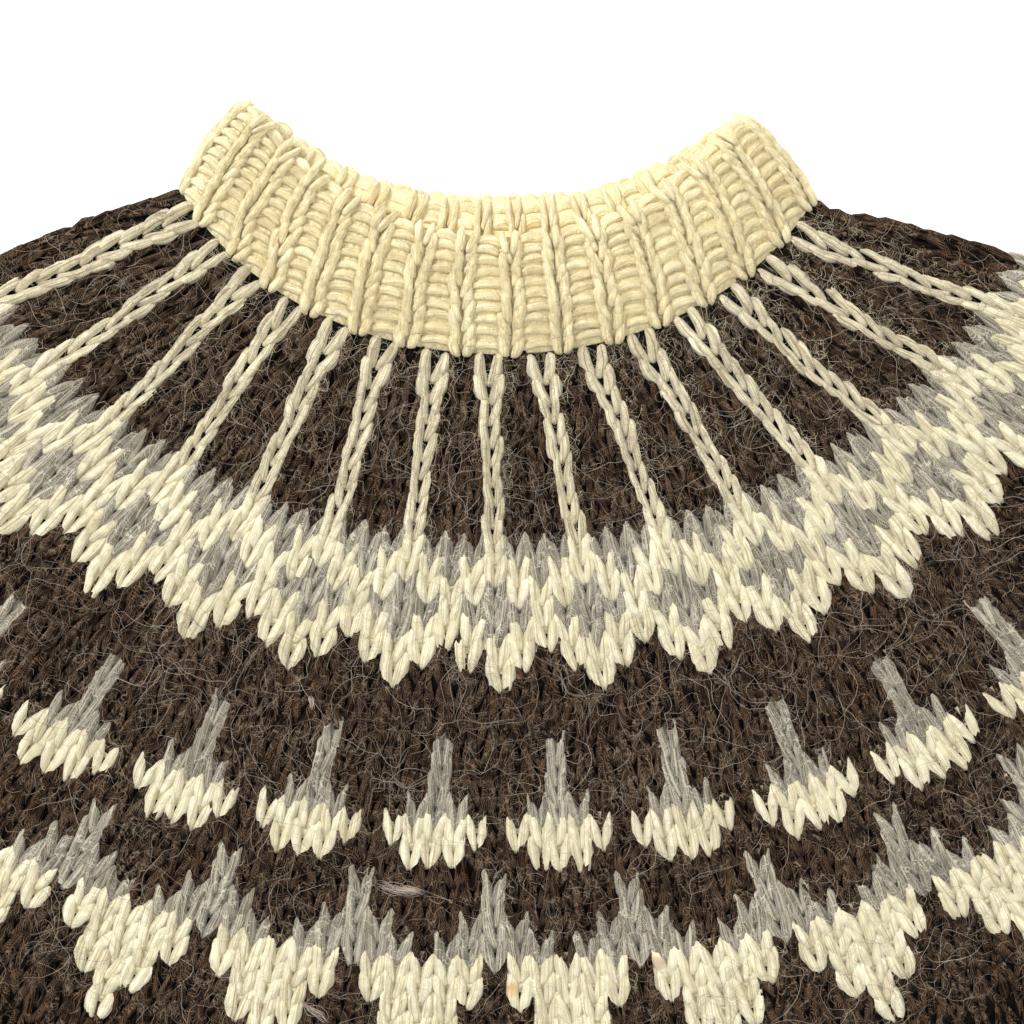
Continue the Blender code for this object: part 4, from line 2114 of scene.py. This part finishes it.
@dataclass(frozen=True)
class Tuft:
    """Pale hairs in a loose bunch, from one pixel of the photograph to another."""

    start: tuple[float, float]
    end: tuple[float, float]
    hairs: int
    spread: float = 0.45 * MM

    def scatter(self, points: Points, form: Form, rng: np.random.Generator) -> None:
        """Add this tuft's hairs, on top of the form's front.

        Args:
            points: Where they go.
            form: The form.
            rng: Source of their places.
        """
        start = photo_point(*self.start)
        run = photo_point(*self.end) - start
        length = float(np.linalg.norm(run))
        heading = math.atan2(run[1], run[0])
        for _ in range(self.hairs):
            reach = float(rng.uniform(0.45, 0.8))
            along = float(rng.uniform(reach / 2, 1 - reach / 2))
            x, y = start + run * along + rng.normal(0.0, self.spread, 2)
            lift = float(form.lift(np.array([x]), np.array([y]), np.zeros(1))[0])
            height = THICK + lift + float(rng.uniform(0.2, 1.0)) * MM
            turn = Matrix.Rotation(heading + float(rng.normal(0.0, 0.12)), 3, "Z")
            size = Vector((reach * length, float(rng.normal(0.0, 0.3)) * length, 1.5 * MM))
            points.add(Vector((x + CENTRE.x, y + CENTRE.y, height)), turn, size, float(rng.random()))


TUFTS = (
    Tuft((372.0, 884.0), (424.0, 892.0), 26, 0.22 * MM),
    Tuft((396.0, 886.0), (422.0, 891.0), 30, 0.40 * MM),
    Tuft((421.0, 896.0), (456.0, 900.0), 3, 0.15 * MM),
    Tuft((300.0, 1001.0), (332.0, 1022.0), 20, 0.14 * MM),
    Tuft((310.0, 696.0), (312.0, 709.0), 26, 0.40 * MM),
)
TUFT_SEED = 11


def lay_tufts(name: str, form: Form, materials: Materials) -> Piece:
    """Build the photograph's loose tufts as one piece.

    Args:
        name: Name of the piece.
        form: The form that they lie on.
        materials: The materials made so far.

    Returns:
        The finished piece.
    """
    rng = np.random.default_rng(TUFT_SEED)
    points = Points()
    for tuft in TUFTS:
        tuft.scatter(points, form, rng)
    return TUFT_WOOL.grow(name, points, "cream_wool", materials)


# The garment's pieces


@dataclass
class Yoke:
    """The patterned yoke."""

    form: YokeForm = field(default_factory=YokeForm)
    columns_per_repeat: int = 12
    hair_rows: tuple[float, float] = (0.0, 0.98)

    def build(self, rng: np.random.Generator, materials: Materials) -> list[Piece]:
        """Build the yoke's cloth, its stitches and its hairs.

        Args:
            rng: Source of the small unevenness.
            materials: The materials made so far.

        Returns:
            The cloth, then what lies on it.
        """
        courses = yoke_courses(self.form)
        wall = ClothWall("yoke_cloth", self.form, courses, REPEATS * self.columns_per_repeat)
        cloth = put_on(wall.build(materials.get(ClothFinish(BROWN))), "brown_wool")
        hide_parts("yoke")
        groups = Stitchery(self.form, courses, rng).lay()
        pieces = [cloth]
        for label, yarn, striped, shape, finish in (
            ("cream", Yarn.CREAM, False, FINE, CREAM),
            ("stripe", Yarn.CREAM, True, STRIPE_FINE, STRIPE_CREAM),
            ("grey", Yarn.GREY, False, FELTED, GREY),
            ("brown", Yarn.BROWN, False, MIDDLING, BROWN),
        ):
            points = groups[(yarn, Stitch.KNIT, striped)]
            name = f"yoke_{label}_stitches"
            pieces.append(knit_piece(name, points, Stitch.KNIT, shape, finish, SLOTS[yarn], materials))
        pieces.extend(self.hairs(rng, materials))
        return pieces

    def hairs(self, rng: np.random.Generator, materials: Materials) -> list[Piece]:
        """Build the loose hairs on the yoke's front.

        Args:
            rng: Source of their places.
            materials: The materials made so far.

        Returns:
            The pieces of hair.
        """
        laid = []
        for label, kind, count, yarns in (
            ("long", LONG_STRAYS, 1300, (Yarn.BROWN,)),
            ("short", SHORT_STRAYS, 3100, (Yarn.BROWN,)),
            ("dark", DARK_STRAYS, 420, (Yarn.CREAM, Yarn.GREY)),
            ("grey", GREY_FUZZ, 2100, (Yarn.GREY,)),
            ("pale", PALE_FUZZ, 5200, (Yarn.CREAM,)),
        ):
            name, slot = f"yoke_{label}_hairs", SLOTS[yarns[0]]
            coat = HairCoat(name, self.form, slot, kind, count, self.hair_rows, self.on(*yarns))
            laid.append(coat.build(rng, materials))
        laid.append(lay_tufts("yoke_tuft_hairs", self.form, materials))
        return laid

    def on(self, *yarns: Yarn) -> Callable[[float, float], bool]:
        """Return a test for whether a place on the yoke is in one of these yarns."""
        return lambda row, share: yarn_at(row, share) in yarns


def yarn_at(row: float, share: float) -> Yarn:
    """Say in which yarn the yoke's stitch at a place is.

    Args:
        row: Share of the way out from the neck.
        share: Share of the way round.

    Returns:
        The yarn.
    """
    number = min(YOKE_ROWS - 1, int(row * YOKE_ROWS))
    word, shifted = CHART_ROWS[number]
    start = share * REPEATS - (0.5 if shifted else 0.0)
    return Yarn(word[int(round(start * len(word))) % len(word)])


@dataclass
class Neckband:
    """The folded, ribbed neckband."""

    form: BandForm = field(default_factory=BandForm)
    rows: int = 10
    stitches: int = 60
    inside_rows: int = 7
    rise: float = 0.02
    edge_row: float = 0.985
    lining_reach: float = 0.232

    def build(self, rng: np.random.Generator, materials: Materials) -> list[Piece]:
        """Build the band's cloth and its ribs.

        Args:
            rng: Source of the small unevenness.
            materials: The materials made so far.

        Returns:
            The cloth, then what lies on it.
        """
        courses = plain_courses(self.rows, lambda row: self.stitches, True, Yarn.CREAM)
        wall = ClothWall(
            "neckband_cloth",
            self.form,
            courses,
            self.stitches * 3,
            cloth=BAND_CLOTH,
            back_cloth=3.8 * MM,
            top_inset=3.1 * MM,
            side_inset=1.8 * MM,
            finishes={Yarn.CREAM: BAND_CREAM},
        )
        cloth = put_on(wall.build(materials.get(ClothFinish(BAND_CREAM, ribbed=True))), "cream_wool")
        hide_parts("neckband")
        fuzz = HairCoat("neckband_hairs", self.form, "cream_wool", BAND_FUZZ, 5200, (0.05, 0.97))
        pieces = [cloth, fuzz.build(rng, materials)]
        laid = [replace(course, row=course.row + self.rise) for course in courses]
        for label, form, rounds, widest in (
            ("", self.form, laid, 0.5),
            ("_inside", BandLining(), self.lining(), self.lining_reach),
        ):
            stitchery = Stitchery(
                form, rounds, rng, 1.5 * MM, side_inset=1.0 * MM, purl_sink=1.1 * MM, widest=widest,
            )
            groups = stitchery.lay()
            for kind, shape in ((Stitch.KNIT, RIB_FINE), (Stitch.PURL, PURL_FINE)):
                name = f"neckband{label}_{kind.value}_stitches"
                points = groups[(Yarn.CREAM, kind, False)]
                pieces.append(knit_piece(name, points, kind, shape, BAND_CREAM, "cream_wool", materials))
        return pieces

    def lining(self) -> list[Course]:
        """Rounds of the inner face that shows behind the front, the last one at the fold.

        Returns:
            The rounds, each a stitch on from those of the front.
        """
        inside = plain_courses(self.inside_rows, lambda row: self.stitches, True, Yarn.CREAM)
        first = 1 / self.stitches
        rounds = [replace(course, row=course.row - self.rise, first=first) for course in inside[3:]]
        rounds.append(replace(rounds[-1], row=self.edge_row, kinds=(Stitch.PURL,)))
        return rounds


@dataclass
class Limb:
    """A plain tube of brown knitting with its ribbed end: the body or a sleeve."""

    name: str
    end_name: str
    form: LimbForm
    rows: int
    stitches: tuple[int, int]
    end: RibForm
    end_rows: int
    end_stitches: int
    columns: int

    def counts(self, row: float) -> int:
        """Stitches in the round at a share of the way along."""
        first, last = self.stitches
        return int(round((first + (last - first) * row) / 2)) * 2

    def build(self, rng: np.random.Generator, materials: Materials) -> list[list[Piece]]:
        """Build the tube and its rib.

        Args:
            rng: Source of the small unevenness.
            materials: The materials made so far.

        Returns:
            For the tube and for its rib, the cloth and then what lies on it.
        """
        plain = plain_courses(self.rows, self.counts, False, Yarn.BROWN)
        rib = plain_courses(self.end_rows, lambda row: self.end_stitches, True, Yarn.BROWN)
        made = []
        for name, form, courses, ribbed in (
            (self.name, self.form, plain, False),
            (self.end_name, self.end, rib, True),
        ):
            wall = ClothWall(f"{name}_cloth", form, courses, self.columns)
            cloth = put_on(wall.build(materials.get(ClothFinish(BROWN, ribbed=ribbed))), "brown_wool")
            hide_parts(name)
            pieces = [cloth]
            groups = Stitchery(form, courses, rng).lay()
            for kind, shape in ((Stitch.KNIT, COARSE), (Stitch.PURL, PURL_COARSE)):
                points = groups.get((Yarn.BROWN, kind, False))
                if points:
                    label = f"{name}_{kind.value}_stitches"
                    pieces.append(knit_piece(label, points, kind, shape, BROWN, "brown_wool", materials))
            made.append(pieces)
        return made


UNDERARM = 39.7
UNDERARM_SPLIT = 0.12
UNION_FOLD = 66.6
BODY_FORM = LimbForm(
    angle_from=-UNDERARM + UNDERARM_SPLIT,
    angle_to=UNDERARM - UNDERARM_SPLIT,
    lengths=(0.0, 20 * MM, 60 * MM, 200 * MM, 330 * MM, 360 * MM),
    half_widths=(249 * MM, 259 * MM, 268 * MM, 270 * MM, 266 * MM, 261 * MM),
)
SLEEVE_LENGTHS = (0.0, 60 * MM, 200 * MM, 350 * MM, 410 * MM)
SLEEVE_WIDTHS = (90.7 * MM, 88 * MM, 76 * MM, 61 * MM, 54 * MM)


def sleeve_form(side: int) -> LimbForm:
    """Form of a sleeve, which hangs from its share of the yoke.

    Args:
        side: -1 for the left sleeve, 1 for the right.

    Returns:
        The form.
    """
    angles = sorted((side * (UNDERARM + UNDERARM_SPLIT), side * UNION_FOLD))
    return LimbForm(
        angle_from=angles[0],
        angle_to=angles[1],
        lengths=SLEEVE_LENGTHS,
        half_widths=SLEEVE_WIDTHS,
    )


def make_body() -> Limb:
    """Describe the body and its hem."""
    hem = RibForm(limb=BODY_FORM, half_widths=(260 * MM, 252 * MM))
    return Limb("body", "hem_rib", BODY_FORM, 51, (140, 146), hem, 13, 144, 72)


def make_sleeve(side: int) -> Limb:
    """Describe a sleeve and its cuff.

    Args:
        side: -1 for the left sleeve, 1 for the right.

    Returns:
        The sleeve.
    """
    name = "left" if side < 0 else "right"
    form = sleeve_form(side)
    cuff = RibForm(limb=form, half_widths=(53 * MM, 47 * MM))
    return Limb(f"sleeve_{name}", f"cuff_{name}", form, 58, (50, 30), cuff, 13, 32, 24)


# The room


@dataclass(frozen=True)
class Lamp:
    """A soft square light that looks at the middle of the photograph's view."""

    name: str
    place: tuple[float, float, float]
    size: float
    power: float

    def hang(self) -> None:
        """Add the light to the scene, at its place from that middle."""
        lamp = bpy.data.lights.new(self.name, "AREA")
        lamp.shape = "SQUARE"
        lamp.size = self.size
        lamp.energy = self.power
        holder = bpy.data.objects.new(self.name, lamp)
        holder.location = view_middle() + Vector(self.place)
        holder.rotation_euler = (-Vector(self.place)).to_track_quat("-Z", "Y").to_euler()
        bpy.context.scene.collection.objects.link(holder)


def view_middle() -> Vector:
    """Middle of the photograph's view, on the floor of the frame.

    Returns:
        The place.
    """
    half = PHOTO_SIDE / 2
    spot = photo_point(half, half)
    return Vector((spot[0] + CENTRE.x, spot[1] + CENTRE.y, 0.0))


@dataclass
class Room:
    """The camera over the sweater, the floor under it and the light on it."""

    lens: float = 85.0
    sensor: float = 36.0
    floor_side: float = 9.0
    floor_level: float = -0.0004
    floor_grey: float = 0.96
    floor_roughness: float = 0.9
    floor_glow: float = 0.3
    backdrop: float = 0.58
    lamps: tuple[Lamp, ...] = (
        Lamp("key", (-1.1, 1.1, 1.5), 0.8, 41.0),
        Lamp("fill", (1.2, -0.2, 1.6), 1.6, 11.0),
    )

    def add_camera(self) -> None:
        """Look straight down on the yoke, framed as in the photograph."""
        data = bpy.data.cameras.new("camera")
        data.lens = self.lens
        data.sensor_width = self.sensor
        distance = PHOTO_SIDE * PIXEL * self.lens / self.sensor
        camera = bpy.data.objects.new("camera", data)
        camera.location = view_middle() + UP * (distance + THICK)
        camera.rotation_euler = (0.0, 0.0, 0.0)
        bpy.context.scene.collection.objects.link(camera)
        bpy.context.scene.camera = camera

    def add_floor(self) -> None:
        """Lay a pale floor."""
        place = (0.0, 0.0, self.floor_level)
        bpy.ops.mesh.primitive_plane_add(size=self.floor_side, location=place)
        floor = bpy.context.object
        floor.name = "floor"
        material, graph, shader = new_material("floor", self.floor_roughness, 0.5)
        graph.put(shader, "Base Color", (*(self.floor_grey,) * 3, 1.0))
        graph.put(shader, "Emission Color", (1.0, 1.0, 1.0, 1.0))
        graph.put(shader, "Emission Strength", self.floor_glow)
        floor.data.materials.append(material)

    def add_light(self) -> None:
        """Light the room softly."""
        world = bpy.data.worlds.new("soft_room")
        world.use_nodes = True
        backdrop = world.node_tree.nodes["Background"]
        backdrop.inputs["Color"].default_value = (1.0, 1.0, 1.0, 1.0)
        backdrop.inputs["Strength"].default_value = self.backdrop
        bpy.context.scene.world = world
        for lamp in self.lamps:
            lamp.hang()
        bpy.context.scene.view_settings.view_transform = "Standard"


def declare(pieces: list[Piece], form: Form) -> None:
    """Work out a tube's widest girth, its length and its flat area, which then go unused.

    Args:
        pieces: The cloth, then what lies on it.
        form: The tube's form.
    """
    widest = max(form.girth(row) for row in np.linspace(0.0, 1.0, 9))
    length = form.mean_span()
    area = min(form.cut_area(), widest * length)
    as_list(pieces[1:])


SEED = 7


def main() -> None:
    """Build the garment piece by piece, then the room."""
    logging.basicConfig(level=logging.INFO, format="%(name)s: %(message)s")
    room = Room()
    room.add_camera()
    materials = Materials()
    rng = np.random.default_rng(SEED)
    yoke = Yoke()
    declare(yoke.build(rng, materials), yoke.form)
    band = Neckband()
    declare(band.build(rng, materials), band.form)
    for limb in (make_body(), make_sleeve(-1), make_sleeve(1)):
        tube, rib = limb.build(rng, materials)
        declare(tube, limb.form)
        declare(rib, limb.end)
    room.add_floor()
    room.add_light()


if __name__ == "__main__":
    main()
